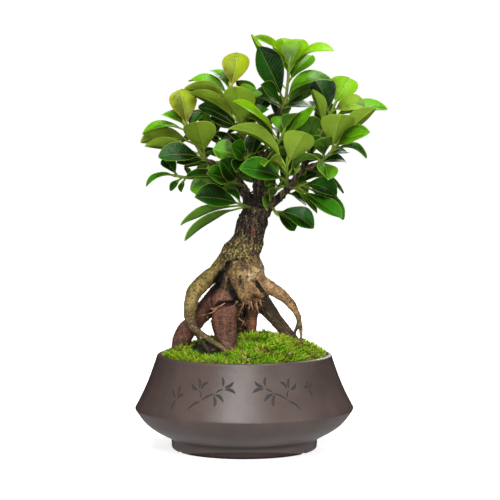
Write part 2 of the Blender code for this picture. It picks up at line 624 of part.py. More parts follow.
def make_trunk():
    """Roots, trunk and branches, melted together into one skin."""
    vertices = []
    faces = []
    for limb in LIMBS:
        centres, radii = limb_path(limb)
        more_vertices, more_faces = tube(centres, radii, LIMB_SIDES)
        first = len(vertices)
        vertices += more_vertices
        faces += [tuple(index + first for index in face) for face in more_faces]
    trunk = new_object("trunk", vertices, faces)
    remesh = trunk.modifiers.new("melt", "REMESH")
    remesh.mode = "VOXEL"
    remesh.voxel_size = TRUNK_VOXEL
    smooth = trunk.modifiers.new("soften", "SMOOTH")
    smooth.factor = TRUNK_SOFTENING
    smooth.iterations = TRUNK_SOFTENING_ROUNDS
    apply_modifiers(trunk)
    keep_largest_body(trunk)
    thin = trunk.modifiers.new("thin", "DECIMATE")
    thin.ratio = TRUNK_TRIANGLES / len(trunk.data.polygons)
    apply_modifiers(trunk)
    keep_largest_body(trunk)
    shade_round(trunk, TRUNK_CREASE)
    trunk.data.materials.append(material("bark", BARK))
    return trunk


def make_cutter(trunk):
    """The trunk's shape with its clearance, which makes room for it in what it meets."""
    cutter = bpy.data.objects.new("trunk_cutter", trunk.data.copy())
    bpy.context.scene.collection.objects.link(cutter)
    for vertex in cutter.data.vertices:
        vertex.co += vertex.normal * TRUNK_CLEARANCE
    cutter.hide_render = True
    cutter.display_type = "WIRE"
    return cutter


def stem_path(stem):
    """A shoot's stem as points from its limb to its bud."""
    return [seen(*point) for point in smooth_path(stem, STEM_STEPS)]


def bud_tip(path):
    """The tip of the bud that ends a stem."""
    return path[-1] + (path[-1] - path[-2]).normalized() * BUD_LENGTH


def point_on(path, part):
    """The point at a part of a path's length."""
    place = part * (len(path) - 1)
    index = min(int(place), len(path) - 2)
    return path[index].lerp(path[index + 1], place - index)


def blade_width(t, width):
    """A leaf's width at a part of its length: a petiole, then an egg shape, widest past half."""
    if t <= PETIOLE_PART:
        return PETIOLE_WIDTH
    u = (t - PETIOLE_PART) / (1 - PETIOLE_PART)
    swell = max(math.sin(math.pi * u ** WIDEST_POWER), 0.0) ** ROUNDNESS
    return max(width * swell, PETIOLE_WIDTH * (1 - u) + TIP_WIDTH * u)


def blade(base, tip, upper, width, arch, stations, thickness):
    """A leaf as a thin closed solid, arched along its length and folded along its midrib. Each
    station is a part of the length and the points across: 2 on the petiole, 3 with the midrib
    and 1 at the tip."""
    length = (tip - base).length
    bend = (base + tip) / 2 + upper * (arch * length * 2)
    top = []
    under = []
    rows = []
    for t, across in stations:
        centre = base * (1 - t) ** 2 + bend * (2 * t * (1 - t)) + tip * t ** 2
        along = ((bend - base) * (1 - t) + (tip - bend) * t).normalized()
        normal = (upper - along * upper.dot(along)).normalized()
        side = along.cross(normal)
        half = blade_width(t, width) / 2
        lift = normal * (FOLD * 2 * half) if across == 3 else Vector()
        points = {1: [centre], 2: [centre - side * half, centre + side * half],
                  3: [centre - side * half + lift, centre, centre + side * half + lift]}[across]
        rows.append([len(top) + index for index in range(across)])
        top += points
        under += [point - normal * thickness for point in points]
    shift = len(top)
    upper_faces = []
    rim = []
    for low, high in zip(rows, rows[1:]):
        kind = (len(low), len(high))
        if kind == (2, 2):
            upper_faces += [(low[0], low[1], high[1]), (low[0], high[1], high[0])]
        elif kind == (2, 3):
            upper_faces += [(low[0], low[1], high[1]), (low[0], high[1], high[0]),
                            (low[1], high[2], high[1])]
        elif kind == (3, 3):
            upper_faces += [(low[0], low[1], high[1]), (low[0], high[1], high[0]),
                            (low[1], low[2], high[2]), (low[1], high[2], high[1])]
        else:
            upper_faces += [(low[0], low[1], high[0]), (low[1], low[2], high[0])]
        rim += [(high[0], low[0]), (low[-1], high[-1])]
    rim.append((rows[0][0], rows[0][1]))
    faces = list(upper_faces)
    faces += [tuple(index + shift for index in reversed(face)) for face in upper_faces]
    for start, end in rim:
        faces += [(end, start, start + shift), (end, start + shift, end + shift)]
    return top + under, faces


def stations_for(base, tip, start=0.0):
    """A leaf's stations by its length, from a part of that length on."""
    stations = LARGE_STATIONS if (tip - base).length > SMALL_LEAF * MM else SMALL_STATIONS
    return ((start, 2),) + stations[1:]


def facing(along, face):
    """The upper side's normal of a leaf in the front view, for a turn in degrees."""
    to_viewer = Vector((0.0, -math.cos(VIEW_PITCH), math.sin(VIEW_PITCH)))
    to_viewer = (to_viewer - along * to_viewer.dot(along)).normalized()
    edge_on = along.cross(to_viewer)
    if edge_on.z < 0:
        edge_on = -edge_on
    turn = math.radians(face)
    return edge_on * math.cos(turn) + to_viewer * math.sin(turn)


def drawn_leaf(path, leaf):
    """Base, tip and upper normal of a leaf that is drawn in the front view."""
    base = point_on(path, leaf.start)
    level = seen(leaf.column, leaf.row, -base.y / MM)
    across = (level - base).length
    depth = math.sqrt(max((abs(leaf.reach) * MM) ** 2 - across ** 2, 0.0))
    nearer = -base.y + math.copysign(depth, leaf.reach)
    tip = seen(leaf.column, leaf.row, nearer / MM)
    return base, tip, facing((tip - base).normalized(), leaf.face)


def back_leaves(path, count, first_turn, lengths, dice):
    """Leaves of a shoot that stands inside or behind, in a rising spiral round its stem."""
    axis = (path[-1] - path[0]).normalized()
    across = axis.orthogonal().normalized()
    beside = axis.cross(across)
    leaves = []
    for index in range(count):
        part = (index + 1) / count
        turn = math.radians(first_turn) + GOLDEN_ANGLE * index
        outward = across * math.cos(turn) + beside * math.sin(turn)
        lean = math.radians(BACK_LEAF_LEAN[0] * (1 - part) + BACK_LEAF_LEAN[1] * part
                            + dice.uniform(-BACK_LEAF_SWAY, BACK_LEAF_SWAY))
        along = axis * math.cos(lean) + outward * math.sin(lean)
        length = dice.uniform(*lengths) * MM * (1 - BACK_LEAF_SHORTENING * part)
        base = point_on(path, BACK_STEM_PART[0] * (1 - part) + BACK_STEM_PART[1] * part)
        upper = (axis - along * axis.dot(along)).normalized()
        leaves.append((base, base + along * length, upper, length / MM * BACK_LEAF_WIDTH,
                       dice.uniform(*BACK_LEAF_ARCH)))
    return leaves


def triangle_tree(vertices, faces):
    """A search tree for overlap tests."""
    return BVHTree.FromPolygons([tuple(point) for point in vertices], faces, epsilon=0.0)


def trials():
    """Small changes of place and turn for a leaf that is in the way, the least first."""
    moves = [(shift, turn) for shift in SHIFTS for turn in TURNS]
    return sorted(moves, key=lambda move: abs(move[0]) / max(SHIFTS) + abs(move[1]) / max(TURNS))


def settle(leaf, guards, others, own):
    """Bends a leaf clear of what it may not touch. Returns its blade's base, tip, upper normal,
    width and arch, or None where there is no room."""
    base, tip, upper, width, arch = leaf
    toward = (Vector((VIEW_X, -VIEW_DISTANCE, VIEW_HEIGHT)) - tip).normalized()
    tries = [(others + own, SHORTER[0])] + [(others, scale) for scale in SHORTER]
    for blocks, scale in tries:
        for shift, turn in trials():
            end = base + (tip + toward * shift * MM - base) * scale
            along = (end - base).normalized()
            turned_up = Matrix.Rotation(math.radians(turn), 3, along) @ upper
            turned_up = (turned_up - along * turned_up.dot(along)).normalized()
            test = blade(base + turned_up * CLEARING_MARGIN, end + turned_up * CLEARING_MARGIN,
                         turned_up, width * MM * scale, arch, stations_for(base, end, CLEAR_FROM),
                         BLADE_THICKNESS + 2 * CLEARING_MARGIN)
            tree = triangle_tree(*test)
            if not any(tree.overlap(block) for block in guards + blocks):
                return base, end, turned_up, width * scale, arch
    return None


def settle_all():
    """Places every leaf of every shoot clear of the others. Returns each shoot's stem path
    and its leaves."""
    dice = random.Random(BACK_SEED)
    stems = {name: stem_path(stem) for name, (stem, _) in SHOOTS.items()}
    wanted = {}
    for name, (_, leaves) in SHOOTS.items():
        wanted[name] = [drawn_leaf(stems[name], leaf) + (leaf.width, leaf.arch) for leaf in leaves]
    for name, (stem, count, first_turn, lengths) in BACK_SHOOTS.items():
        stems[name] = stem_path(stem)
        wanted[name] = back_leaves(stems[name], count, first_turn, lengths, dice)
    limb_trees = []
    for limb in LIMBS:
        centres, radii = limb_path(limb)
        radii = [radius + LIMB_MARGIN for radius in radii]
        limb_trees.append(triangle_tree(*tube(centres, radii, LIMB_GUARD_SIDES)))
    stem_trees = {}
    for name, path in stems.items():
        centres = path + [bud_tip(path)]
        radii = [STEM_RADII[0] + CLEARING_MARGIN] * len(centres)
        stem_trees[name] = triangle_tree(*tube(centres, radii, STEM_GUARD_SIDES))
    placed = {name: [] for name in wanted}
    trees = {name: [] for name in wanted}
    for name, leaves in wanted.items():
        guards = limb_trees + [tree for other, tree in stem_trees.items() if other != name]
        for leaf in leaves:
            others = [tree for other in trees if other != name for tree in trees[other]]
            settled = settle(leaf, guards, others, trees[name])
            if settled is None:
                print("no room for a leaf of", name, [round(v, 3) for v in leaf[1]])
                continue
            base, tip, upper, width, arch = settled
            placed[name].append(settled)
            stations = stations_for(base, tip, CLEAR_FROM)
            solid = blade(base, tip, upper, width * MM, arch, stations, BLADE_THICKNESS)
            trees[name].append(triangle_tree(*solid))
    return stems, placed


def make_spray(name, path, leaves, finish, cutter):
    """One leafy shoot: its green stem, its bud and its leaves, fused."""
    count = len(path)
    thinning = STEM_RADII[1] - STEM_RADII[0]
    radii = [STEM_RADII[0] + thinning * index / (count - 1) for index in range(count)]
    stem = new_object(name, *tube(path + [bud_tip(path)], radii + [BUD_TIP_RADIUS], STEM_SIDES))
    pieces = []
    for base, tip, upper, width, arch in leaves:
        solid = blade(base, tip, upper, width * MM, arch, stations_for(base, tip), BLADE_THICKNESS)
        pieces.append(new_object(name + "_leaf", *solid))
    fuse(stem, pieces)
    cut(stem, cutter)
    keep_largest_body(stem)
    stem.data.materials.clear()
    stem.data.materials.append(finish)
    shade_round(stem, SPRAY_CREASE)
    return stem


def build():
    """Makes every node of the plant and its pot."""
    clear_scene()
    make_pot()
    soil = make_soil()
    moss = make_moss()
    trunk = make_trunk()
    cutter = make_cutter(trunk)
    for filling in (soil, moss):
        cut(filling, cutter)
        keep_largest_body(filling)
        shade_round(filling, FILLING_CREASE)
    greens = [material("leaf_green_%d" % index, finish)
              for index, finish in enumerate(LEAF_GREENS)]
    stems, placed = settle_all()
    for index, name in enumerate(stems):
        make_spray(name, stems[name], placed[name], greens[index % len(greens)], cutter)
    bpy.data.objects.remove(cutter, do_unlink=True)


build()
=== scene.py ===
# %% [markdown]
# # A ginseng ficus in its clay pot
#
# The plant is a grafted fig: swollen roots that stand in moss like legs, a short rough trunk, and
# sprays of glossy leaves that each turn their own way. The solid model already gives every piece
# its place and its size. This lesson dresses each piece, in the same frame and in metres: it is
# modelled again more finely where it stands, and it gets a surface made of shader nodes.

# %% Load the solid model
import math
import random
from collections import namedtuple

import bpy
import numpy as np
from mathutils import Matrix, Vector, noise
from mathutils.bvhtree import BVHTree


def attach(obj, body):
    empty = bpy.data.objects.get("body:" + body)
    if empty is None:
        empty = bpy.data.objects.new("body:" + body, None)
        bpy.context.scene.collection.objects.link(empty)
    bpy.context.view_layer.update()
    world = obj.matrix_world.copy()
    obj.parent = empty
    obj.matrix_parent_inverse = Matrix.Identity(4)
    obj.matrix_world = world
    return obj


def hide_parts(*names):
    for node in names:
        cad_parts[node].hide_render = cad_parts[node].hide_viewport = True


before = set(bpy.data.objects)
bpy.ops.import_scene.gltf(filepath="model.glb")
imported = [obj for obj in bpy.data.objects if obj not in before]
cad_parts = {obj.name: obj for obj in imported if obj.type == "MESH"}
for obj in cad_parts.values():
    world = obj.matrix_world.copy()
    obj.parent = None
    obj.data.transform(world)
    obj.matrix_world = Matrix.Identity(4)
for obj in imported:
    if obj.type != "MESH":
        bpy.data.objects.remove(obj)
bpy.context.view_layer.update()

MM = 0.001
GOLDEN_ANGLE = math.radians(137.5)
print("solid nodes:", len(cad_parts))

# %% [markdown]
# ## The view
#
# The tree was laid out as a front view of 500 by 500, in which one step at the pot's axis is
# about one millimetre. The camera takes that same view, so a place in it can be turned into a
# point in space. Depth of field stays off and the lens has no shift, so other views work too.

# %% Put up the camera
POT_AXIS_X = -17.25 * MM
VIEW_DISTANCE = 2.2
VIEW_HEIGHT = 0.3599
VIEW_PITCH = math.radians(4.17)
VIEW_FOCAL = 2206.0
VIEW_SIZE = 500
VIEW_MIDDLE = 250.0
VIEW_X = POT_AXIS_X + 5.7 * MM
EYE = Vector((VIEW_X, -VIEW_DISTANCE, VIEW_HEIGHT))
AHEAD = Vector((0.0, math.cos(VIEW_PITCH), -math.sin(VIEW_PITCH)))
ABOVE = Vector((0.0, math.sin(VIEW_PITCH), math.cos(VIEW_PITCH)))
SENSOR_WIDTH = 36.0


def seen(column, row, nearer):
    """The point at a column and a row, that many millimetres nearer than the pot's axis."""
    ray = AHEAD.copy()
    ray.x += (column - VIEW_MIDDLE) / VIEW_FOCAL
    ray += ABOVE * ((VIEW_MIDDLE - row) / VIEW_FOCAL)
    return EYE + ray * ((-nearer * MM - EYE.y) / ray.y)


def in_scene(name, data):
    """A new object in the scene that shows a camera, a light, a curve or a mesh."""
    thing = bpy.data.objects.new(name, data)
    bpy.context.scene.collection.objects.link(thing)
    return thing


lens = bpy.data.cameras.new("front_view")
lens.sensor_width = SENSOR_WIDTH
lens.lens = SENSOR_WIDTH * VIEW_FOCAL / VIEW_SIZE
camera = in_scene("front_view", lens)
camera.location = EYE
camera.rotation_euler = (math.radians(90) - VIEW_PITCH, 0.0, 0.0)
bpy.context.scene.camera = camera
print("lens in mm:", round(lens.lens, 1))

# %% [markdown]
# ## Working by hand, in code
#
# Every piece is made with the tools that a modeller uses in the window: a primitive is added,
# shaped in edit mode, and finished with modifiers. An operator acts on all that is selected, so
# one helper picks a single piece, and the others build on it.

# %% Helpers for picking, applying and handing over
def pick(piece):
    """Selects one piece alone and makes it active."""
    bpy.ops.object.select_all(action="DESELECT")
    piece.select_set(True)
    bpy.context.view_layer.objects.active = piece


def apply_modifiers(piece):
    """Puts the modifiers' result into the piece's own mesh."""
    pick(piece)
    for modifier in list(piece.modifiers):
        bpy.ops.object.modifier_apply(modifier=modifier.name)


def set_down(piece):
    """Moves the piece's place, turn and scale into its mesh."""
    pick(piece)
    bpy.ops.object.transform_apply(location=True, rotation=True, scale=True)


def join_all(pieces):
    """Joins pieces into the first one."""
    bpy.ops.object.select_all(action="DESELECT")
    for piece in pieces:
        piece.select_set(True)
    bpy.context.view_layer.objects.active = pieces[0]
    bpy.ops.object.join()
    return bpy.context.object


def shade_round(piece, angle):
    """Smooth shading that keeps creases sharper than an angle in degrees."""
    pick(piece)
    bpy.ops.object.shade_smooth_by_angle(angle=math.radians(angle))


def points_of(piece):
    """A piece's points as an array."""
    places = np.empty(len(piece.data.vertices) * 3)
    piece.data.vertices.foreach_get("co", places)
    return places.reshape(-1, 3)


def move_points(piece, places):
    """Gives a piece's points new places."""
    piece.data.vertices.foreach_set("co", np.asarray(places, np.float32).ravel())
    piece.data.update()


def faces_of(piece):
    """The corners of each of a piece's faces."""
    return [list(face.vertices) for face in piece.data.polygons]


def taken_apart(piece):
    """A master's points and faces. The master itself is removed."""
    places, faces = points_of(piece), faces_of(piece)
    bpy.data.objects.remove(piece, do_unlink=True)
    return places, faces


def face_outward(piece):
    """Turns the faces of a closed piece outwards."""
    pick(piece)
    bpy.ops.object.mode_set(mode="EDIT")
    bpy.ops.mesh.select_all(action="SELECT")
    bpy.ops.mesh.normals_make_consistent(inside=False)
    bpy.ops.object.mode_set(mode="OBJECT")


def mark(piece, name, kind, values):
    """Stores a value for each point under a name, for a shader to read."""
    attribute = piece.data.attributes.new(name, kind, "POINT")
    field = {"FLOAT": "value", "FLOAT_VECTOR": "vector", "FLOAT_COLOR": "color"}[kind]
    attribute.data.foreach_set(field, np.asarray(values, np.float32).ravel())


def mesh_piece(name, places, faces):
    """A piece from many points and faces that were copied from a master."""
    mesh = bpy.data.meshes.new(name)
    mesh.from_pydata(places.tolist(), [], faces)
    return in_scene(name, mesh)


def curve_through(name, points):
    """A curve of straight steps through points."""
    curve = bpy.data.curves.new(name, "CURVE")
    curve.dimensions = "3D"
    spline = curve.splines.new("POLY")
    spline.points.add(len(points) - 1)
    for bead, point in zip(spline.points, points):
        bead.co = (*point, 1.0)
    return curve


def as_mesh(name, curve):
    """A piece whose mesh is a curve's outer shape."""
    pick(in_scene(name, curve))
    bpy.ops.object.convert(target="MESH")
    return bpy.context.object


def hand_over(piece, name, slot, *nodes):
    """Names a finished piece, and says what it rides on and which solids it stands for."""
    piece.name = name
    piece.data.name = name
    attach(piece, "root")
    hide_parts(*nodes)
    piece.data.calc_loop_triangles()
    print(name, "has", len(piece.data.loop_triangles), "triangles")


print("points of the solid trunk:", len(points_of(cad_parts["trunk"])))

# %% [markdown]
# ## Shader sums as plain sums
#
# A material's pattern is arithmetic on coordinates. Wrapping a node's output in a small class
# lets Python's own signs add the Math nodes, so a formula reads as it would on paper.

# %% Sockets that can be added, multiplied and compared
class Socket:
    """One output of a shader node."""

    def __init__(self, shader, output):
        self.shader = shader
        self.output = output

    def __add__(self, other):
        return self.shader.sum("ADD", self, other)

    def __radd__(self, other):
        return self.shader.sum("ADD", other, self)

    def __sub__(self, other):
        return self.shader.sum("SUBTRACT", self, other)

    def __rsub__(self, other):
        return self.shader.sum("SUBTRACT", other, self)

    def __mul__(self, other):
        return self.shader.sum("MULTIPLY", self, other)

    def __rmul__(self, other):
        return self.shader.sum("MULTIPLY", other, self)


class Shader:
    """A material and the one method that adds any node to it."""

    def __init__(self, name):
        self.material = bpy.data.materials.new(name)
        self.material.use_nodes = True
        self.tree = self.material.node_tree
        self.surface = self.tree.nodes["Principled BSDF"]

    def add(self, kind, settings, inputs, output=0):
        """Adds a node: its settings first, then the values or links of its sockets."""
        node = self.tree.nodes.new(kind)
        for setting, value in settings.items():
            setattr(node, setting, value)
        self.join(node, inputs)
        return Socket(self, node.outputs[output])

    def join(self, node, inputs):
        """Links or sets a node's sockets."""
        for name, value in inputs.items():
            if isinstance(value, Socket):
                self.tree.links.new(value.output, node.inputs[name])
            else:
                node.inputs[name].default_value = value

    def sum(self, operation, first, second=0.0):
        return self.add("ShaderNodeMath", {"operation": operation}, {0: first, 1: second})

    def place(self):
        """A point's own coordinates on the object, in metres."""
        return self.add("ShaderNodeTexCoord", {}, {}, "Object")

    def own(self, name, output="Fac"):
        """A value that the piece stores for each point."""
        settings = {"attribute_type": "GEOMETRY", "attribute_name": name}
        return self.add("ShaderNodeAttribute", settings, {}, output)

    def parts(self, vector):
        """The three numbers of a vector."""
        split = self.add("ShaderNodeSeparateXYZ", {}, {0: vector})
        return [Socket(self, split.output.node.outputs[index]) for index in range(3)]

    def stretched(self, vector, scale):
        """A vector with each of its numbers scaled."""
        settings = {"operation": "MULTIPLY"}
        return self.add("ShaderNodeVectorMath", settings, {0: vector, 1: scale})

    def noise(self, vector, scale, detail=3.0, roughness=0.55):
        inputs = {"Vector": vector, "Scale": scale, "Detail": detail, "Roughness": roughness}
        return self.add("ShaderNodeTexNoise", {}, inputs)

    def cells(self, vector, scale, output="Distance"):
        return self.add("ShaderNodeTexVoronoi", {}, {"Vector": vector, "Scale": scale}, output)

    def step(self, value, low, high):
        """A mask that goes smoothly from 0 at low to 1 at high."""
        inputs = {"Value": value, "From Min": low, "From Max": high}
        return self.add("ShaderNodeMapRange", {"interpolation_type": "SMOOTHSTEP"}, inputs)

    def mix(self, share, first, second):
        """A colour between two colours."""
        inputs = {0: share, 6: first, 7: second}
        return self.add("ShaderNodeMix", {"data_type": "RGBA"}, inputs, 2)

    def shaded(self, colour, value):
        """A colour made lighter or darker by a number around 1."""
        settings = {"operation": "SCALE"}
        return self.add("ShaderNodeVectorMath", settings, {0: colour, "Scale": value})

    def bump(self, height, depth, below=None):
        """A normal from a height between 0 and 1 that stands for a depth in metres."""
        inputs = {"Height": height, "Distance": depth, "Strength": 1.0}
        if below is not None:
            inputs["Normal"] = below
        return self.add("ShaderNodeBump", {}, inputs)

    def finish(self, **inputs):
        """Joins the pattern to the surface. An input's underscores stand for spaces."""
        named = {name.replace("_", " "): value for name, value in inputs.items()}
        self.join(self.surface, named)
        return self.material


def tone(red, green, blue):
    """A colour from its red, green and blue as seen on a screen, 0 to 255."""
    linear = [channel / 255 for channel in (red, green, blue)]
    linear = [c / 12.92 if c <= 0.04045 else ((c + 0.055) / 1.055) ** 2.4 for c in linear]
    return (*linear, 1.0)


print("a middle grey is", round(tone(128, 128, 128)[0], 3), "in linear light")

# %% [markdown]
# ## Studio
#
# The tree stands on a wide white floor in a white room. Floor and room are only what the camera
# sees: neither of them throws light back on the tree, which keeps the hollows of roots and crown
# as deep as they look on the real plant. All light comes from soft boxes, the main one high in
# front and a little to the left. One lies flat on the floor and shines up, as a white table does,
# under the belly of the pot. The floor is staging and not part of the object.

# %% Light the studio
FLOOR_SIZE = 12.0
FLOOR_NEAR = 0.10
FLOOR_FAR = 0.55
SOFT_BOXES = (
    # name, place, side in metres, power in watts
    ("main", (-0.35, -1.75, 1.8), 1.0, 34.0),
    ("top", (0.15, 0.1, 1.75), 0.8, 22.0),
    ("front", (0.0, -2.5, 0.55), 0.6, 27.0),
    ("right", (1.9, -1.0, 0.8), 0.8, 5.0),
    ("back", (0.7, 2.0, 1.1), 0.9, 15.0),
    ("table", (-0.017, -0.05, 0.002), 0.8, 0.95),
)
AIMED_AT = Vector((-0.017, 0.0, 0.22))

bpy.ops.object.select_all(action="DESELECT")
bpy.ops.mesh.primitive_plane_add(size=FLOOR_SIZE)
floor = bpy.context.object
floor.name = "floor"
floor.visible_diffuse = False
floor.visible_glossy = False
paper = Shader("floor_paper")
where = paper.place()
grain = paper.noise(where, 6.0)
away = paper.add("ShaderNodeVectorMath", {"operation": "LENGTH"}, {0: where}, "Value")
glow = paper.mix(paper.step(away, FLOOR_NEAR, FLOOR_FAR), tone(226, 226, 226), tone(255, 255, 255))
floor.data.materials.append(paper.finish(
    Base_Color=paper.mix(grain, tone(240, 240, 240), tone(246, 246, 246)), Roughness=0.9,
    Emission_Color=glow, Emission_Strength=1.0))
for name, place, side, power in SOFT_BOXES:
    box = bpy.data.lights.new("soft_box_" + name, "AREA")
    box.size = side
    box.energy = power
    stand = in_scene("soft_box_" + name, box)
    stand.location = place
    stand.rotation_euler = (AIMED_AT - stand.location).to_track_quat("-Z", "Y").to_euler()
    stand.visible_camera = False
room = bpy.data.worlds.new("room")
room.use_nodes = True
room.node_tree.nodes["Background"].inputs["Color"].default_value = tone(255, 255, 255)
bpy.context.scene.world = room
room.cycles_visibility.diffuse = False
room.cycles_visibility.glossy = False
bpy.context.scene.view_settings.view_transform = "Standard"
print("soft boxes:", len(SOFT_BOXES))

# %% [markdown]
# ## Fired clay
#
# Purple-brown clay is matt and slightly sandy. Three things make it up: a broad cloud of tone from
# the kiln, faint level lines from the wheel, and grains of sand lighter and darker than the body.
# A dark band of painted shade lies where the belly meets the top of the foot ring.

# %% Mix the clay
FOOT_TOP = 0.0115

clay = Shader("clay")
where = clay.place()
cloud = clay.noise(where, 22.0, 4.0)
wheel = clay.noise(clay.stretched(where, (14.0, 14.0, 620.0)), 1.0, 2.0)
grain = clay.noise(where, 1500.0, 2.0)
sand = clay.cells(where, 520.0)
body = clay.mix(clay.step(cloud, 0.3, 0.7), tone(86, 72, 68), tone(99, 84, 79))
body = clay.shaded(body, 0.90 + 0.12 * wheel + 0.16 * (grain - 0.5))
body = clay.mix(0.40 * (1 - clay.step(sand, 0.10, 0.20)), body, tone(138, 122, 114))
# Painted shade: a dark band at the top of the foot ring, under the belly.
over_foot = clay.sum("ABSOLUTE", clay.parts(where)[2] - FOOT_TOP)
body = clay.mix(0.75 * (1 - clay.step(over_foot, 0.0005, 0.0045)), body, tone(46, 36, 34))
relief = clay.bump(grain, 0.00016)
relief = clay.bump(wheel, 0.00010, relief)
clay.surface.inputs["Specular IOR Level"].default_value = 0.62
clay.finish(Base_Color=body, Roughness=0.28 + 0.14 * grain, Normal=relief)
print("clay nodes:", len(clay.tree.nodes))

# %% [markdown]
# ## The pot
#
# The pot is thrown on a wheel: every level is a circle. So its outline is drawn as a curve, up
# the outside and down the inside, and spun round the axis. Corners of the real pot are crisp but
# never knife-sharp, so each corner of the outline is rounded with a small arc. Three notches are
# then cut into the foot ring.

# %% Turn the pot
POT_SIDES = 320
POT_ANGLE = 28
ARC_STEPS = 4
ARC_SHARE = 0.45
MERGE_DISTANCE = 0.01 * MM
OUTLINE = (
    # radius, height and rounding in millimetres, from the foot up the wall and down inside
    (70.6, 0.0, 1.2), (72.8, 1.6, 1.2), (73.3, 10.9, 1.6), (90.0, 19.5, 7.0), (99.0, 26.2, 7.0),
    (105.2, 34.0, 5.0), (109.85, 41.2, 1.4), (104.0, 52.2, 9.0), (96.6, 68.0, 12.0),
    (88.8, 90.0, 8.0), (87.5, 94.9, 1.6), (82.4, 95.6, 2.0), (82.6, 91.0, 2.0),
    (87.6, 75.4, 6.0), (95.4, 56.6, 8.0), (101.4, 43.5, 4.0), (96.0, 32.0, 5.0),
    (77.5, 15.4, 3.0), (66.0, 14.0, 2.0), (9.0, 14.0, 1.0), (9.0, 7.0, 1.0), (65.0, 7.0, 2.0),
    (65.0, 0.0, 1.0),
)
NOTCH_ANGLES = (86.5, 206.5, 326.5)
NOTCH_SIDES = 24
NOTCH_WIDTH = 10.0
NOTCH_HEIGHT = 4.2
NOTCH_RADIUS = 69.0
NOTCH_DEPTH = 16.0


def rounded(outline):
    """An outline of corners, each replaced by a small arc."""
    path = []
    for index, (radius, height, rounding) in enumerate(outline):
        corner = Vector((radius, height))
        ends = []
        for neighbour in (outline[index - 1], outline[(index + 1) % len(outline)]):
            way = Vector(neighbour[:2]) - corner
            ends.append(corner + way.normalized() * min(rounding, way.length * ARC_SHARE))
        start, end = ends
        for step in range(ARC_STEPS + 1):
            t = step / ARC_STEPS
            point = start * (1 - t) ** 2 + corner * (2 * t * (1 - t)) + end * t ** 2
            path.append((point.x, point.y))
    return path


def turned(name, profile, sides, closed):
    """A body turned round the pot's axis from a profile of radius and height in millimetres."""
    curve = curve_through(name, [(POT_AXIS_X + radius * MM, 0.0, height * MM)
                                 for radius, height in profile])
    curve.splines[0].use_cyclic_u = closed
    piece = as_mesh(name, curve)
    bpy.ops.object.mode_set(mode="EDIT")
    bpy.ops.mesh.select_all(action="SELECT")
    bpy.ops.mesh.spin(steps=sides, angle=math.tau, center=(POT_AXIS_X, 0.0, 0.0),
                      axis=(0.0, 0.0, 1.0))
    bpy.ops.mesh.select_all(action="SELECT")
    bpy.ops.mesh.remove_doubles(threshold=MERGE_DISTANCE)
    bpy.ops.object.mode_set(mode="OBJECT")
    face_outward(piece)
    return piece


def cut_out(piece, cutter):
    """Takes a cutter's shape out of a piece. The cut faces keep the cutter's material."""
    boolean = piece.modifiers.new("cut", "BOOLEAN")
    boolean.operation = "DIFFERENCE"
    boolean.solver = "EXACT"
    boolean.material_mode = "TRANSFER"
    boolean.object = cutter
    apply_modifiers(piece)
    bpy.data.objects.remove(cutter, do_unlink=True)


pot = turned("pot_body", rounded(OUTLINE), POT_SIDES, closed=True)
notches = []
for angle in NOTCH_ANGLES:
    turn = math.radians(angle)
    bpy.ops.object.select_all(action="DESELECT")
    bpy.ops.mesh.primitive_cylinder_add(vertices=NOTCH_SIDES, radius=NOTCH_WIDTH / 2 * MM,
                                        depth=NOTCH_DEPTH * MM)
    notch = bpy.context.object
    notch.scale = (NOTCH_HEIGHT / (NOTCH_WIDTH / 2), 1.0, 1.0)
    set_down(notch)
    notch.rotation_euler = (0.0, math.radians(90), turn)
    notch.location = (POT_AXIS_X + NOTCH_RADIUS * MM * math.cos(turn),
                      NOTCH_RADIUS * MM * math.sin(turn), 0.0)
    set_down(notch)
    notches.append(notch)
notches = join_all(notches)
for piece in (pot, notches):
    piece.data.materials.append(clay.material)
cut_out(pot, notches)
print("pot:", len(pot.data.polygons), "faces")

# %% [markdown]
# ## A carved sprig
#
# The wall of such a pot is carved before firing, and the grooves are rubbed with dark colour. Here
# they are bamboo sprigs, a common ornament. A brush stroke is a slim leaf shape, so one master
# slab is made from a grid, and each stroke is a copy of it that is bent along a curve on the wall
# and sunk half a millimetre. A Boolean then cuts all strokes at once, and the dark colour of the
# strokes stays in the grooves.

# %% Make the master slab
STROKE_ROWS = 14


def slab(columns, rows):
    """A closed slab from a grid: places across, along and below for each point, and its faces."""
    bpy.ops.object.select_all(action="DESELECT")
    bpy.ops.mesh.primitive_grid_add(x_subdivisions=columns, y_subdivisions=rows, size=2.0)
    master = bpy.context.object
    bpy.ops.object.mode_set(mode="EDIT")
    bpy.ops.mesh.select_all(action="SELECT")
    bpy.ops.mesh.extrude_region_move(TRANSFORM_OT_translate={"value": (0.0, 0.0, -1.0)})
    bpy.ops.object.mode_set(mode="OBJECT")
    face_outward(master)
    places, faces = taken_apart(master)
    return places[:, 0], (places[:, 1] + 1) / 2, -places[:, 2], np.array(faces)


def joined(copies, faces):
    """Many copies of a master as one set of points and faces."""
    count = len(copies[0])
    all_faces = [faces + count * index for index in range(len(copies))]
    return np.concatenate(copies), np.concatenate(all_faces)


STROKE = slab(2, STROKE_ROWS)
print("master slab:", len(STROKE[3]), "faces")

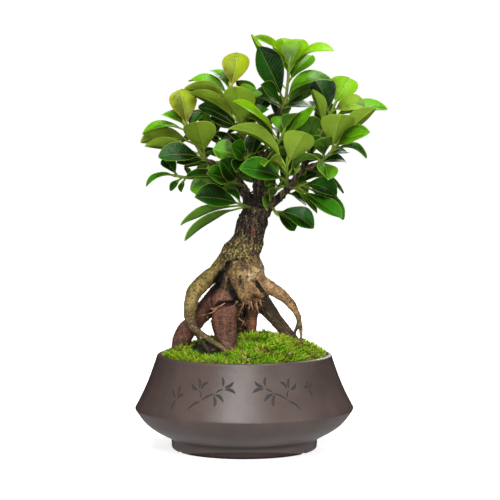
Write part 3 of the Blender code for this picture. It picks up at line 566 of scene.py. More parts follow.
# %% Carve the strokes
SPRIG = (
    # start, end, bow to the left and width in millimetres, from the sprig's middle
    ((-22, -13), (-11, -4.6), 1.2, 1.9), ((-10.2, -3.8), (2.6, 2.8), 1.0, 1.7),
    ((3.6, 3.6), (11.0, 7.6), 0.6, 1.5), ((-10.6, -2.6), (-14.2, 5.2), -0.8, 1.4),
    ((-16.0, 5.8), (-23.5, 11.0), 1.6, 3.2), ((-14.4, 7.2), (-16.8, 16.4), -1.0, 3.0),
    ((-12.6, 6.6), (-5.6, 13.6), 1.2, 3.0), ((3.4, 2.0), (12.8, -4.6), 1.4, 3.2),
    ((2.0, 1.0), (4.2, -9.6), 1.2, 3.2), ((12.6, 9.2), (21.6, 14.8), -1.4, 3.2),
    ((12.8, 7.2), (24.0, 3.8), 1.4, 3.2), ((10.6, 9.8), (9.4, 18.8), -0.9, 2.8),
)
LEAFLETS = (
    ((-1.0, -11.0), (0.6, -1.0), 0.5, 1.6), ((-0.6, 0.2), (-6.2, 6.0), 0.8, 2.4),
    ((0.8, 1.2), (1.0, 9.8), -0.6, 2.4), ((2.0, -0.4), (7.6, 3.4), 0.7, 2.2),
)
CARVINGS = (
    # strokes, turn from the front in degrees, height, scale, mirrored
    (SPRIG, -18.6, 64.5, 0.98, 1), (SPRIG, 18.6, 65.0, 0.98, -1),
    (LEAFLETS, -41.5, 61.0, 1.15, 1), (LEAFLETS, 41.0, 70.0, 0.75, -1),
)
GROOVE_DEPTH = 0.55
STROKE_ENDS = (0.015, 0.985)
STROKE_FULLNESS = 0.6


def wall_radius(height):
    """The outer wall's radius at a height, in millimetres."""
    wall = [(corner[1], corner[0]) for corner in OUTLINE[6:11]]
    return np.interp(height, [high for high, _ in wall], [radius for _, radius in wall])


def stroke_points(stroke, turn, middle, scale, mirrored):
    """A copy of the master slab as one stroke on the wall, in metres."""
    (start_x, start_z), (end_x, end_z), bow, width = stroke
    across, along, below = STROKE[:3]
    run = np.array([end_x - start_x, end_z - start_z])
    left = np.array([-run[1], run[0]]) / np.linalg.norm(run)
    swell = np.sin(math.pi * np.clip(along, *STROKE_ENDS)) ** STROKE_FULLNESS
    aside = bow * 4 * along * (1 - along) + across * width / 2 * swell
    x = (start_x + run[0] * along + left[0] * aside) * scale * mirrored
    z = middle + (start_z + run[1] * along + left[1] * aside) * scale
    radius = wall_radius(z) + np.where(below > 0.5, -GROOVE_DEPTH, 1.0)
    angle = math.radians(turn - 90) + x / wall_radius(middle)
    x = POT_AXIS_X + radius * np.cos(angle) * MM
    return np.stack([x, radius * np.sin(angle) * MM, z * MM], 1)


groove_colour = Shader("groove")
dust = groove_colour.noise(groove_colour.place(), 700.0)
groove_colour.finish(Base_Color=groove_colour.mix(dust, tone(52, 50, 49), tone(74, 70, 68)),
                     Roughness=0.85)
strokes = [stroke_points(stroke, turn, height, scale, mirrored)
           for drawing, turn, height, scale, mirrored in CARVINGS for stroke in drawing]
chisel_places, chisel_faces = joined(strokes, STROKE[3])
chisel = mesh_piece("chisel", chisel_places, chisel_faces.tolist())
face_outward(chisel)
chisel.data.materials.append(groove_colour.material)
print("strokes:", len(strokes))

# %% Cut the strokes into the wall
cut_out(pot, chisel)
shade_round(pot, POT_ANGLE)
hand_over(pot, "pot_turned", "clay", "pot")

# %% [markdown]
# ## Limbs of the tree
#
# Roots, trunk and branches grew as one body, so they are laid out as tapering rods along smooth
# curves and then melted together by a voxel remesh. A rod is a curve with a round bevel whose
# radius is given at each point.

# %% Lay out the limbs
LIMBS = {
    "lower_trunk": ((253.5, 217, 0, 30), (250, 230, 0, 31), (248.2, 241, 1, 32),
                    (243, 252, 2, 39), (240.5, 264, 4, 46), (242, 277, 5, 47), (246, 288, 6, 34)),
    "fork_base": ((257, 206, 0, 22), (255, 214, 0, 27), (252, 224, 0, 31)),
    "crown_face": ((251, 268, 12, 30), (248, 280, 14, 30), (245, 292, 14, 22), (244.5, 300, 15, 15),
                   (244.5, 304, 15, 9)),
    "crown_stub": ((254, 283, 16, 20), (260, 291, 19, 13), (264.5, 296.5, 20, 8)),
    "left_shoulder": ((236, 248, 1, 22), (227, 260, 3, 20), (217, 272, 8, 18)),
    "left_outer_root": ((222, 270, 6, 18), (210, 277, 14, 17), (200.5, 285, 20, 16.5),
                        (193.5, 294, 23, 15.5), (191, 304, 24, 14.5), (190, 314, 25, 12.5),
                        (191.5, 323, 27, 9.5), (198, 331.5, 30, 7), (209, 339, 34, 6),
                        (221, 347, 37, 5.2), (231, 353.5, 39, 4.8), (239, 360, 40, 4.4)),
    "back_root": ((246, 258, -4, 26), (246, 273, -9, 28), (245, 288, -15, 25), (243, 305, -21, 20),
                  (241, 325, -27, 15), (240, 344, -30, 12)),
    "left_inner_root": ((243, 260, -3, 28), (239, 273, -4, 30), (228, 288, -2, 25.5),
                        (215.5, 299.5, -2, 22), (205, 310, -4, 20.5), (195, 320.5, -6, 19),
                        (186, 331.5, -7, 18), (180.5, 343, -8, 17), (178, 356, -9, 16),
                        (177, 368, -9, 14)),
    "centre_root": ((236, 276, 1, 20), (231, 291, 5, 22), (225.5, 305, 11, 24),
                    (224.6, 317, 15, 26), (225, 329, 18, 24.5), (226.5, 341, 21, 20),
                    (228, 352, 23, 17), (229, 364, 24, 15)),
    "middle_root": ((248, 280, -3, 20), (251, 295, -4, 18), (252, 308, -7, 14),
                    (251.5, 320, -9, 12), (251, 332, -10, 10), (250, 346, -11, 8)),
    "right_back_root": ((249, 264, -3, 24), (252, 279, -6, 24), (260, 298, -9, 20),
                        (271, 314, -12, 15.5), (281, 325.5, -15, 13), (289.5, 334.5, -17, 11),
                        (297, 345, -19, 9)),
    "right_outer_root": ((256, 280, 13, 18), (268, 286.5, 16, 14.5), (280.5, 294, 18, 12),
                         (290.5, 303.5, 19, 9.5), (296.5, 313, 20, 7), (299.8, 322, 21, 5),
                         (301, 332, 22, 3.8), (301.2, 344, 23, 3.2), (301.2, 356, 23, 2.8)),
    "right_side_root": ((299.3, 320, 21, 3.6), (296.4, 327, 21, 3.6), (294.6, 334, 20, 3.2),
                        (293.5, 346, 19, 2.8)),
    "left_string_root": ((190, 322, 24, 5), (194, 332, 21, 4.4), (203, 343.5, 20, 4.2),
                         (211, 353, 20, 4), (216, 362, 20, 3.6)),
    "left_fork": ((248, 216, 0, 16), (248.5, 205, -2, 12.5), (246, 193, -4, 9.5), (239, 181, -4, 8),
                  (228, 172, 2, 6.4), (216, 165.5, 8, 5.4), (207, 160, 11, 4.6)),
    "middle_fork": ((260.5, 214, 0, 17), (259.5, 203, -1, 13.5), (258.5, 192, -2, 11),
                    (257.5, 180, -3, 9.4), (257, 165, -3, 8.2), (256, 150, -3, 7),
                    (258, 138, -4, 6.2), (266, 127, -5, 5.6), (276, 116, -5, 5.2),
                    (283, 107.5, -5, 4.6)),
    "right_fork": ((263, 213, 2, 15), (270, 205.5, 4, 10.5), (277, 199.5, 8, 8.8),
                   (283.5, 194, 12, 7.8), (290, 187, 14, 6.8), (296, 178, 16, 6), (303, 171, 18, 5.4),
                   (311, 167.5, 19, 5), (318, 164, 20, 4.6)),
    "upper_left_limb": ((256.5, 158, -3, 6), (251, 148, 0, 5.4), (247, 140, 4, 4.8)),
    "front_limb": ((283, 195, 12, 5.6), (287, 188, 17, 4.8), (287.4, 183, 21, 4.4)),
    "middle_limb": ((257, 162, -3, 6), (263, 155, 6, 5), (269, 150, 15, 4.4)),
    "right_upper_limb": ((301, 172.5, 18, 5.2), (308, 160, 8, 5), (313.5, 147, -2, 4.6),
                         (317.5, 138, -8, 4.2)),
    "small_left_limb": ((224, 170, 4, 5), (214, 173, 9, 4.4), (206, 175.5, 12, 4)),
    "stub_limb": ((257.5, 199, 0, 7), (264.5, 193.5, 2, 5.6), (271.5, 190.5, 4, 4.4)),
    "back_middle_limb": ((258, 190, -2, 9), (262, 176, -16, 7), (268, 161, -30, 5.6),
                         (273, 150, -40, 4.8)),
    "back_left_limb": ((247.5, 200, -3, 9), (238, 185, -16, 6.6), (229, 168, -30, 5.4),
                       (224, 154, -40, 4.6)),
    "back_right_limb": ((283, 194, 10, 7), (290, 184, -6, 6), (298, 173, -22, 5.4),
                        (305, 161, -34, 4.6)),
    "back_high_limb": ((256.5, 154, -3, 6.4), (254.5, 143, -14, 5.2), (254, 132, -24, 4.6)),
    "back_low_left_limb": ((251, 209, -6, 11), (248, 199, -22, 6.6), (245, 189, -36, 5.4),
                           (242, 181, -46, 4.6)),
    "back_low_right_limb": ((261, 205, -5, 9), (270, 196, -22, 6.4), (278, 188, -36, 5.4),
                            (283, 182, -45, 4.6)),
}
LIMB_STEPS = 4


def smooth_path(points, steps):
    """Points along a smooth curve through the given points, each a tuple of numbers."""
    ends = [points[0]] + list(points) + [points[-1]]
    path = []
    for index in range(len(points) - 1):
        before, start, end, after = ends[index:index + 4]
        for step in range(steps):
            t = step / steps
            path.append(tuple(
                0.5 * (2 * b + (c - a) * t + (2 * a - 5 * b + 4 * c - d) * t * t
                       + (3 * b - a - 3 * c + d) * t * t * t)
                for a, b, c, d in zip(before, start, end, after)))
    path.append(tuple(points[-1]))
    return path


def limb_path(limb):
    """A limb's centre points and radii, smoothed."""
    points = smooth_path(LIMBS[limb], LIMB_STEPS)
    centres = [seen(column, row, nearer) for column, row, nearer, _ in points]
    radii = [diameter / 2 * MM for *_, diameter in points]
    return centres, radii


def rod(name, centres, radii, fineness):
    """A closed round rod along points. Its sides are 4 and 2 more for each step of fineness."""
    curve = curve_through(name, centres)
    curve.bevel_depth = 1.0
    curve.bevel_resolution = fineness
    curve.use_fill_caps = True
    for bead, radius in zip(curve.splines[0].points, radii):
        bead.radius = radius
    return as_mesh(name, curve)


trunk = join_all([rod(limb, *limb_path(limb), 6) for limb in LIMBS])
print("limbs:", len(LIMBS))

# %% [markdown]
# ## Melt the limbs and press in the folds
#
# The remesh gives one even skin. On the old crown of the roots the bark has folded over itself for
# years. The folds are sculpted as with a thumb: each stroke is a short path in the front view, and
# it presses in, or draws out, the bark that faces the viewer there. A second remesh then evens out
# the faces that the strokes have stretched.

# %% Melt the limbs into one skin
FIRST_VOXEL = 1.1 * MM
TRUNK_VOXEL = 0.92 * MM


def melt(piece, voxel, rounds):
    """Joins all overlapping bodies of a piece into one even skin and softens it."""
    remesh = piece.modifiers.new("melt", "REMESH")
    remesh.mode = "VOXEL"
    remesh.voxel_size = voxel
    soften = piece.modifiers.new("soften", "SMOOTH")
    soften.factor = 0.5
    soften.iterations = rounds
    apply_modifiers(piece)


def normals_of(piece):
    """The outward normal at each of a piece's points."""
    normals = np.empty(len(piece.data.vertices) * 3)
    piece.data.vertices.foreach_get("normal", normals)
    return normals.reshape(-1, 3)


def search_tree(piece):
    """A piece's faces, ready for rays and for the nearest point."""
    return BVHTree.FromPolygons(points_of(piece).tolist(), faces_of(piece))


melt(trunk, FIRST_VOXEL, 3)
set_down(trunk)
print("first skin:", len(trunk.data.polygons), "faces")

# %% Press in the folds
STROKES = (
    # columns and rows of the path, reach and depth in millimetres; below 0 it is drawn out
    (((231, 281), (225, 289), (216, 297), (206, 304)), 6.5, -4.5),
    (((229.5, 264), (225.5, 270), (221, 276), (217, 281), (212, 288)), 3.6, 8.5),
    (((212, 289), (206, 295), (201, 301), (199, 308)), 2.3, 5.5),
    (((229, 273), (232, 266), (240, 263.5), (249, 265), (257, 270), (264, 277)), 2.6, -2.0),
    (((227, 263), (233, 260), (242, 258.5), (251, 260.5), (258, 265)), 1.3, 1.5),
    (((236, 276), (239, 270), (246, 268.5)), 1.5, 0.9),
    (((228, 274), (230.8, 280), (231.2, 287), (234.5, 293), (237.5, 299.5), (242.5, 304)), 2.0, 4.6),
    (((236, 282), (238, 289), (241, 297)), 3.4, -2.0),
    (((240.5, 281), (242.5, 286), (244, 291)), 1.2, 1.8),
    (((250, 281), (255, 287), (260, 293)), 2.2, -1.6),
    (((251.5, 281), (255.5, 282), (258.5, 286.5), (262.5, 291.5), (269, 296)), 2.0, 5.6),
    (((243, 304.5), (250, 302.5), (258, 303), (265, 300.5)), 2.2, 5.0),
    (((239, 301), (230, 303.5), (221, 305), (214, 309.5)), 2.8, 7.0),
    (((240, 277),), 1.3, 1.8), (((247, 277),), 1.1, 1.4), (((242, 282),), 1.3, 1.7),
    (((241, 287.5),), 1.2, 1.4), (((255, 290),), 1.3, 2.0), (((260.4, 277),), 1.0, 1.6),
    (((226.5, 245), (225, 250)), 3.2, -2.4), (((256, 241), (262, 243)), 2.4, 2.6),
    (((250, 208), (248, 222), (243, 238)), 1.4, 1.6), (((260, 222), (259, 234)), 1.3, 1.8),
    (((254, 226), (256, 238)), 2.4, -1.3), (((240, 232), (236, 243)), 2.6, -1.3),
    (((207, 279), (200, 286), (195, 297), (192, 309)), 1.8, -0.9),
    (((266, 281), (277, 290), (288, 300)), 2.0, -0.9),
    (((230, 309), (231, 326), (230, 344)), 1.6, 1.1), (((218, 312), (219.5, 328)), 1.4, 0.9),
    (((224, 318), (225, 336)), 2.2, -0.8), (((274, 312), (284, 324)), 1.6, 0.9),
)
STROKE_SPACING = 1.2
STROKE_START = 0.45
FULLY_FACED = 0.35
SKIN_CLEARANCE = 1.5 * MM


def in_view(places):
    """Each point's column and row in the front view."""
    away = places - np.array([VIEW_X, -VIEW_DISTANCE, VIEW_HEIGHT])
    far = away[:, 1] * math.cos(VIEW_PITCH) - away[:, 2] * math.sin(VIEW_PITCH)
    high = away[:, 1] * math.sin(VIEW_PITCH) + away[:, 2] * math.cos(VIEW_PITCH)
    return np.stack([VIEW_MIDDLE + VIEW_FOCAL * away[:, 0] / far,
                     VIEW_MIDDLE - VIEW_FOCAL * high / far], 1)


def shown_in_view(piece):
    """How fully each point shows in the front view, 0 where the piece itself hides it."""
    places = points_of(piece)
    toward = np.array([0.0, -math.cos(VIEW_PITCH), math.sin(VIEW_PITCH)])
    faced = np.clip(normals_of(piece) @ toward / FULLY_FACED, 0, 1)
    tree = search_tree(piece)
    for index in np.flatnonzero(faced):
        start = Vector(places[index] + toward * SKIN_CLEARANCE)
        if tree.ray_cast(start, Vector(toward))[0] is not None:
            faced[index] = 0.0
    return faced


def stroke_share(view, path, reach):
    """How much a stroke along columns and rows presses on each place. It thins out at its ends."""
    dots = []
    for start, end in zip(path, path[1:] or path):
        steps = max(int(math.dist(start, end) / STROKE_SPACING), 1)
        dots += [np.array(start) + (np.array(end) - start) * step / steps
                 for step in range(steps + 1)]
    share = np.zeros(len(view))
    for index, dot in enumerate(dots):
        swell = math.sin(math.pi * (index + 0.5) / len(dots)) ** 0.5
        firm = STROKE_START + (1 - STROKE_START) * swell
        wide = reach * (0.6 + 0.4 * firm)
        near = np.square(view - dot).sum(1) / wide ** 2
        share = np.maximum(share, firm * np.exp(-near))
    return share


shown = shown_in_view(trunk)
view = in_view(points_of(trunk))
places = points_of(trunk)
outward = normals_of(trunk)
inward = np.array([0.0, math.cos(VIEW_PITCH), -math.sin(VIEW_PITCH)])
for path, reach, depth in STROKES:
    share = stroke_share(view, path, reach) * shown * abs(depth) * MM
    places += share[:, None] * (inward if depth > 0 else outward)
move_points(trunk, places)
melt(trunk, TRUNK_VOXEL, 2)
print("folds:", len(STROKES), "skin:", len(trunk.data.polygons), "faces")

# %% [markdown]
# ## Roughen the bark
#
# What the bark does differs from place to place: the old trunk is cracked along its length, the
# inner roots are wrinkled across theirs, and the outer roots are smooth with warts. Each point
# finds the limb it lies on, and takes its shares of the three kinds and its tone from that.

# %% Find each point's bark
BARK_KINDS = {"cracked": 0, "wrinkled": 1, "warty": 2}
LIMB_BARK = {
    # kind of bark, tone at the start and tone at the end
    "lower_trunk": ("cracked", "old", "earthy"), "fork_base": ("cracked", "old", "old"),
    "crown_face": ("warty", "tan", "tan"), "crown_stub": ("warty", "tan", "rust"),
    "left_shoulder": ("warty", "olive", "olive"), "left_outer_root": ("warty", "olive", "twig"),
    "back_root": ("wrinkled", "maroon", "maroon"),
    "left_inner_root": ("wrinkled", "pink", "maroon"),
    "centre_root": ("wrinkled", "pink", "maroon"), "middle_root": ("wrinkled", "old", "rust"),
    "right_back_root": ("wrinkled", "old", "dusk"),
    "right_outer_root": ("warty", "tan", "twig"), "right_side_root": ("warty", "old", "old"),
    "left_string_root": ("warty", "twig", "old"),
}
OTHER_BARK = ("cracked", "old", "twig")
BARK_TONES = {
    "old": tone(80, 60, 47), "olive": tone(142, 120, 62), "tan": tone(190, 148, 100),
    "pink": tone(140, 92, 74), "maroon": tone(108, 69, 53), "rust": tone(140, 94, 66),
    "twig": tone(98, 74, 50), "dusk": tone(100, 80, 54), "earthy": tone(116, 92, 56),
}
BLEND_WIDTH = 2.2 * MM
BATCH = 4000


def bark_of_points(places):
    """For each point: its share of each kind of bark, its tone, and how far along a limb it is."""
    samples = []
    for limb in LIMBS:
        kind, start, end = LIMB_BARK.get(limb, OTHER_BARK)
        centres, radii = limb_path(limb)
        run = 0.0
        for index, (centre, radius) in enumerate(zip(centres, radii)):
            run += (centre - centres[max(index - 1, 0)]).length
            share = index / (len(centres) - 1)
            share = share * share * (3 - 2 * share)
            colour = [a * (1 - share) + b * share
                      for a, b in zip(BARK_TONES[start], BARK_TONES[end])]
            samples.append((*centre, radius, BARK_KINDS[kind], run / MM, *colour[:3]))
    samples = np.array(samples)
    shares = np.zeros((len(places), len(BARK_KINDS)))
    colours = np.zeros((len(places), 3))
    runs = np.zeros(len(places))
    for first in range(0, len(places), BATCH):
        some = slice(first, first + BATCH)
        apart = np.linalg.norm(places[some, None] - samples[None, :, :3], axis=2) - samples[:, 3]
        weights = np.exp(-np.square((apart - apart.min(1, keepdims=True)) / BLEND_WIDTH))
        weights /= weights.sum(1, keepdims=True)
        colours[some] = weights @ samples[:, 6:9]
        runs[some] = weights @ samples[:, 5]
        for kind in BARK_KINDS.values():
            shares[some, kind] = weights[:, samples[:, 4] == kind].sum(1)
    return shares, colours, runs


shares, colours, runs = bark_of_points(points_of(trunk))
print("tones:", len(BARK_TONES))

# %% Roughen the skin
# depths and steps in millimetres, and how many to a millimetre across and along
CRACK_DEPTH = 1.9
CRACKS = (0.24, 0.055)
FLAKE_DEPTH = 0.75
FLAKES = (0.26, 0.13)
FLAKE_GROOVE = 0.35
MEAN_HEIGHT = 0.6
SWELL_DEPTH = 1.5
SWELLS = 0.075
ROOT_SWELL = 0.35
WART_DEPTH = 0.45
WARTS = 0.21
PORE_DEPTH = 0.35
PORES = 0.5
WRINKLE_STEP = 2.9
WRINKLE_DEPTH = 0.13
WRINKLE_WANDER = 5.0
WANDERS = 0.11


def ridges(places, across, along):
    """Sharp ridges with dull valleys, from 0 to about 1, stretched along the height."""
    stretched = places * np.array([across, across, along]) / MM
    return np.array([noise.ridged_multi_fractal(point, 0.8, 2.2, 3, 0.9, 2.0)
                     for point in stretched.tolist()]) / 2


def lumps(places, scale, detail=2):
    """Soft lumps from -1 to 1, with scale as lumps for each millimetre."""
    return np.array([noise.fractal(point, 0.9, 2.1, detail)
                     for point in (places * scale / MM).tolist()])


def flakes(places, across, along):
    """Plates with grooves between them, from 0 in a groove to 1."""
    stretched = places * np.array([across, across, along]) / MM
    apart = [noise.voronoi(point)[0] for point in stretched.tolist()]
    return np.clip(np.array([pair[1] - pair[0] for pair in apart]) / FLAKE_GROOVE, 0, 1)


places = points_of(trunk)
cracked, wrinkled, warty = shares.T
rise = SWELL_DEPTH * lumps(places, SWELLS) * (cracked + wrinkled * 0.7 + warty * ROOT_SWELL)
rise += cracked * CRACK_DEPTH * (ridges(places, *CRACKS) - MEAN_HEIGHT)
rise += cracked * FLAKE_DEPTH * (flakes(places, *FLAKES) - MEAN_HEIGHT)
rise += warty * WART_DEPTH * lumps(places, WARTS, 3)
wander = WRINKLE_WANDER * lumps(places, WANDERS)
rise += wrinkled * WRINKLE_DEPTH * np.sin(runs / WRINKLE_STEP * math.tau + wander)
rise += PORE_DEPTH * lumps(places, PORES)
move_points(trunk, places + normals_of(trunk) * rise[:, None] * MM)
print("rise in mm:", round(float(rise.min()), 1), "to", round(float(rise.max()), 1))

# %% Find crevices and sheltered places
SHELTER_RAYS = 12
SHELTER_REACH = 20 * MM
SHELTER_START = 0.6 * MM
SHELTER_LEAN = 0.95
FULL_SHELTER = 0.7
FULL_CREVICE = 0.45 * MM


def crevices(piece, reach):
    """How deep each point lies under its surroundings, from -1 on a ridge to 1 in a crevice."""
    places = points_of(piece)
    ends = np.empty(len(piece.data.edges) * 2, np.int64)
    piece.data.edges.foreach_get("vertices", ends)
    ends = ends.reshape(-1, 2)
    count = np.bincount(ends.ravel(), minlength=len(places))[:, None]
    spread = places
    for _ in range(reach):
        total = np.zeros_like(places)
        np.add.at(total, ends[:, 0], spread[ends[:, 1]])
        np.add.at(total, ends[:, 1], spread[ends[:, 0]])
        spread = total / count
    depth = ((spread - places) * normals_of(piece)).sum(1)
    return np.clip(depth / FULL_CREVICE, -1, 1)


def all_round(count):
    """Directions that are spread evenly over all sides."""
    for index in range(count):
        high = 1 - (index + 0.5) / count * 2
        flat = math.sqrt(1 - high * high)
        turn = GOLDEN_ANGLE * index
        yield np.array([flat * math.cos(turn), flat * math.sin(turn), high])


def sheltered(piece):
    """How much of the sky each point misses behind the piece's own limbs, from 0 to 1."""
    tree = search_tree(piece)
    places = points_of(piece)
    outward = normals_of(piece)
    start = places + outward * SHELTER_START
    blocked = np.zeros(len(places))
    for lean in all_round(SHELTER_RAYS):
        course = unit(outward + SHELTER_LEAN * lean)
        for index, (point, way) in enumerate(zip(start.tolist(), course.tolist())):
            found = tree.ray_cast(point, way, SHELTER_REACH)[3]
            if found is not None:
                blocked[index] += 1 - found / SHELTER_REACH
    return np.clip(blocked / SHELTER_RAYS / FULL_SHELTER, 0, 1)


def unit(vectors):
    """Vectors of length 1."""
    return vectors / np.linalg.norm(vectors, axis=1, keepdims=True)


# The crevice and shelter measures below drive painted shade in the bark's colour.
crevice = crevices(trunk, 4)
shelter = sheltered(trunk)
print("sheltered points:", int((shelter > 0.3).sum()))

# %% Colour the rusty and mossy places, and paint shade and highlights on the old crown
TONE_SHADE_AND_HIGHLIGHT_PATCHES = (
    # column, row, reach in millimetres, tone and strength, where the old crown shows another tone:
    # rust, lichen, algae and reddish bands; near-black tones are painted shade in crevices, and the
    # palest tans are painted highlights on the face and the arms
    (255.5, 231, 4.5, tone(150, 90, 62), 0.8), (245, 235.5, 1.8, tone(160, 184, 50), 0.9),
    (240, 252, 11, tone(132, 118, 48), 0.75), (251, 275, 5.5, tone(232, 200, 156), 0.9),
    (240, 271, 5, tone(220, 178, 124), 0.85), (242, 262, 4.5, tone(126, 84, 58), 0.6),
    (251, 264, 4, tone(126, 84, 58), 0.5),
    (232, 277, 5, tone(140, 98, 74), 0.7), (268.5, 281.5, 3.5, tone(218, 192, 134), 0.8),
    (262, 269, 4.5, tone(172, 166, 124), 0.6), (240, 292, 4, tone(166, 144, 76), 0.6),
    (246, 299, 4, tone(134, 92, 68), 0.7), (258, 298, 3.5, tone(186, 136, 94), 0.8),
    (199, 287, 6, tone(186, 158, 88), 0.7), (189, 301, 7, tone(200, 168, 110), 0.7),
    (219, 262, 6, tone(152, 136, 58), 0.6), (253, 322, 3.5, tone(196, 122, 74), 0.8),
    (224, 343, 5, tone(190, 152, 122), 0.7), (240, 319, 5, tone(26, 18, 15), 0.92),
    (244, 313, 5, tone(26, 18, 15), 0.85), (246, 328, 4, tone(34, 24, 19), 0.6),
    (264, 311, 4.5, tone(38, 28, 22), 0.8), (233, 263, 4, tone(118, 78, 54), 0.6),
    (192, 321, 4, tone(92, 66, 44), 0.7), (199, 331, 4, tone(92, 66, 44), 0.6),
    (286, 299, 4, tone(128, 98, 58), 0.6), (218, 280, 4, tone(34, 26, 20), 0.75),
    (225, 292, 3.5, tone(180, 134, 106), 0.6), (243, 283, 5, tone(190, 150, 112), 0.55),
    (226, 269, 2.8, tone(36, 27, 20), 0.75), (211, 289, 3.5, tone(34, 26, 20), 0.7),
    (204, 303, 5, tone(76, 50, 40), 0.5), (259, 287, 2.4, tone(40, 30, 20), 0.8),
    (265, 293, 2.4, tone(34, 26, 18), 0.8), (235, 300, 2.6, tone(34, 25, 20), 0.8),
)

shown = shown_in_view(trunk)
view = in_view(points_of(trunk))
# Near-black patches are painted shade in crevices, and the palest tans painted highlights on the face
# and the arms.
for column, row, reach, patch_tone, strength in TONE_SHADE_AND_HIGHLIGHT_PATCHES:
    share = strength * shown * stroke_share(view, ((column, row),), reach)
    colours += share[:, None] * (np.array(patch_tone[:3]) - colours)
mark(trunk, "bark_tone", "FLOAT_COLOR", np.column_stack([colours, np.ones(len(colours))]))
mark(trunk, "bark_kind", "FLOAT_VECTOR", shares)
mark(trunk, "bark_depth", "FLOAT_VECTOR", np.column_stack([crevice, shelter, runs]))
print("patches:", len(TONE_SHADE_AND_HIGHLIGHT_PATCHES))

# %% [markdown]
# ## Bark
#
# The tone that each limb stored is broken up by patterns that differ with the kind of bark: dark
# cracks along the old trunk, fine wrinkles across the inner roots, and black dots with pale grains
# on the outer ones. Crevices and places hidden from the sky by the limbs are darkened with painted
# shade, ridges between crevices get a slight painted highlight, and a film of yellow-green algae
# grows on the old bark.

# %% Mix the bark
SWELLING_TOP = 0.206

bark = Shader("bark")
where = bark.place()
stored = bark.own("bark_tone", "Color")
old, creased, warted = bark.parts(bark.own("bark_kind", "Vector"))
crevice, shelter, run = bark.parts(bark.own("bark_depth", "Vector"))
cloud = bark.noise(where, 110.0, 5.0, 0.65)
fleck = bark.noise(where, 620.0, 3.0, 0.6)
grit = bark.noise(where, 1400.0, 2.0, 0.6)
streak = bark.noise(bark.stretched(where, (310.0, 310.0, 70.0)), 1.0, 4.0, 0.65)
grain_light, grain_dark, _ = bark.parts(bark.cells(where, 560.0, "Color"))
dots = bark.cells(where, 300.0)
height = bark.parts(where)[2]
upper = old * bark.step(height, SWELLING_TOP - 0.008, SWELLING_TOP + 0.010)
grainy = old * (1 - bark.step(height, SWELLING_TOP - 0.004, SWELLING_TOP + 0.016))
grainy = grainy * bark.step(height, SWELLING_TOP - 0.026, SWELLING_TOP - 0.016)
skin = bark.shaded(stored, 0.22 + 1.48 * cloud)
blotch = bark.step(bark.noise(where, 210.0, 4.0, 0.6), 0.36, 0.64)
skin = bark.shaded(skin, 1.0 + (warted + 0.7 * creased) * (0.62 * blotch - 0.33))
algae = bark.step(bark.noise(where, 170.0, 4.0), 0.52, 0.66) * (0.50 * old + 0.40 * warted)
skin = bark.mix(algae, skin, tone(140, 132, 40))
skin = bark.mix(0.95 * upper * bark.step(streak, 0.48, 0.54), skin, tone(14, 10, 8))
skin = bark.mix(0.75 * upper * (1 - bark.step(streak, 0.34, 0.42)) * bark.step(fleck, 0.45, 0.55),
                skin, tone(164, 122, 92))
skin = bark.mix(grainy * 0.80 * bark.step(grain_dark, 0.54, 0.64), skin, tone(36, 27, 18))
skin = bark.mix(grainy * 0.60 * bark.step(grain_light, 0.72, 0.82), skin, tone(206, 184, 116))
skin = bark.mix(0.75 * (1 - bark.step(fleck, 0.36, 0.44)), skin, tone(34, 25, 20))
skin = bark.mix((0.65 * warted + 0.5 * old) * bark.step(fleck, 0.60, 0.70), skin,
                tone(222, 206, 160))
spot = (1 - bark.step(dots, 0.20, 0.32)) * bark.step(cloud, 0.40, 0.52)
skin = bark.mix((0.88 * warted + 0.3 * creased) * spot, skin, tone(26, 19, 14))
pore = (1 - bark.step(dots, 0.10, 0.17)) * creased
skin = bark.mix(0.80 * pore, skin, tone(206, 184, 160))
wrinkle = bark.sum("PINGPONG", run + 3.2 * bark.noise(where, 150.0, 2.0), 0.75)
wrinkle = bark.step(wrinkle, 0.0, 0.4)
skin = bark.shaded(skin, 1.0 - 0.22 * creased * (1 - wrinkle))
# Painted shade in crevices, and a painted highlight on ridges, where the crevice measure is below 0.
skin = bark.shaded(skin, 1.0 - bark.sum("MAXIMUM", crevice * 0.90, crevice * 0.40))
# Painted shade where the bark's own limbs hide a point from the sky.
skin = bark.shaded(skin, 1.0 - 0.95 * bark.step(shelter, 0.02, 0.54))
relief = bark.bump(fleck, 0.0012)
relief = bark.bump(grit, 0.00040, relief)
relief = bark.bump(grainy * grain_light, 0.0008, relief)
relief = bark.bump(wrinkle * creased, 0.00018, relief)
relief = bark.bump(upper * (1 - bark.step(streak, 0.44, 0.62)), 0.0014, relief)
bark.finish(Base_Color=skin, Roughness=0.46 + 0.12 * old + 0.30 * fleck, Normal=relief)
trunk.data.materials.clear()
trunk.data.materials.append(bark.material)
pick(trunk)
bpy.ops.object.shade_smooth()
hand_over(trunk, "trunk_bark", "bark", "trunk")

# %% [markdown]
# ## Where the leaves grow
#
# Each shoot has a green stem, a pointed bud and leaves. Leaves in front are drawn by where they
# start on the stem and where they point in the front view. Shoots behind follow the plant's own
# rule: each leaf stands 137.5 degrees round the stem from the last. A leaf that would cross
# another is swung or turned a little until it is clear, in the same order as in the solid model,
# so that every leaf ends up where the solid one is.

# %% List the shoots
# start is the part of the stem where a leaf grows, column and row are its tip's place in the
# front view, reach is its length (below 0 where it points away), face is the turn of its upper
# side in degrees, and arch is its bend. Reach and width are in millimetres.
Leaf = namedtuple("Leaf", "start column row reach width face arch")

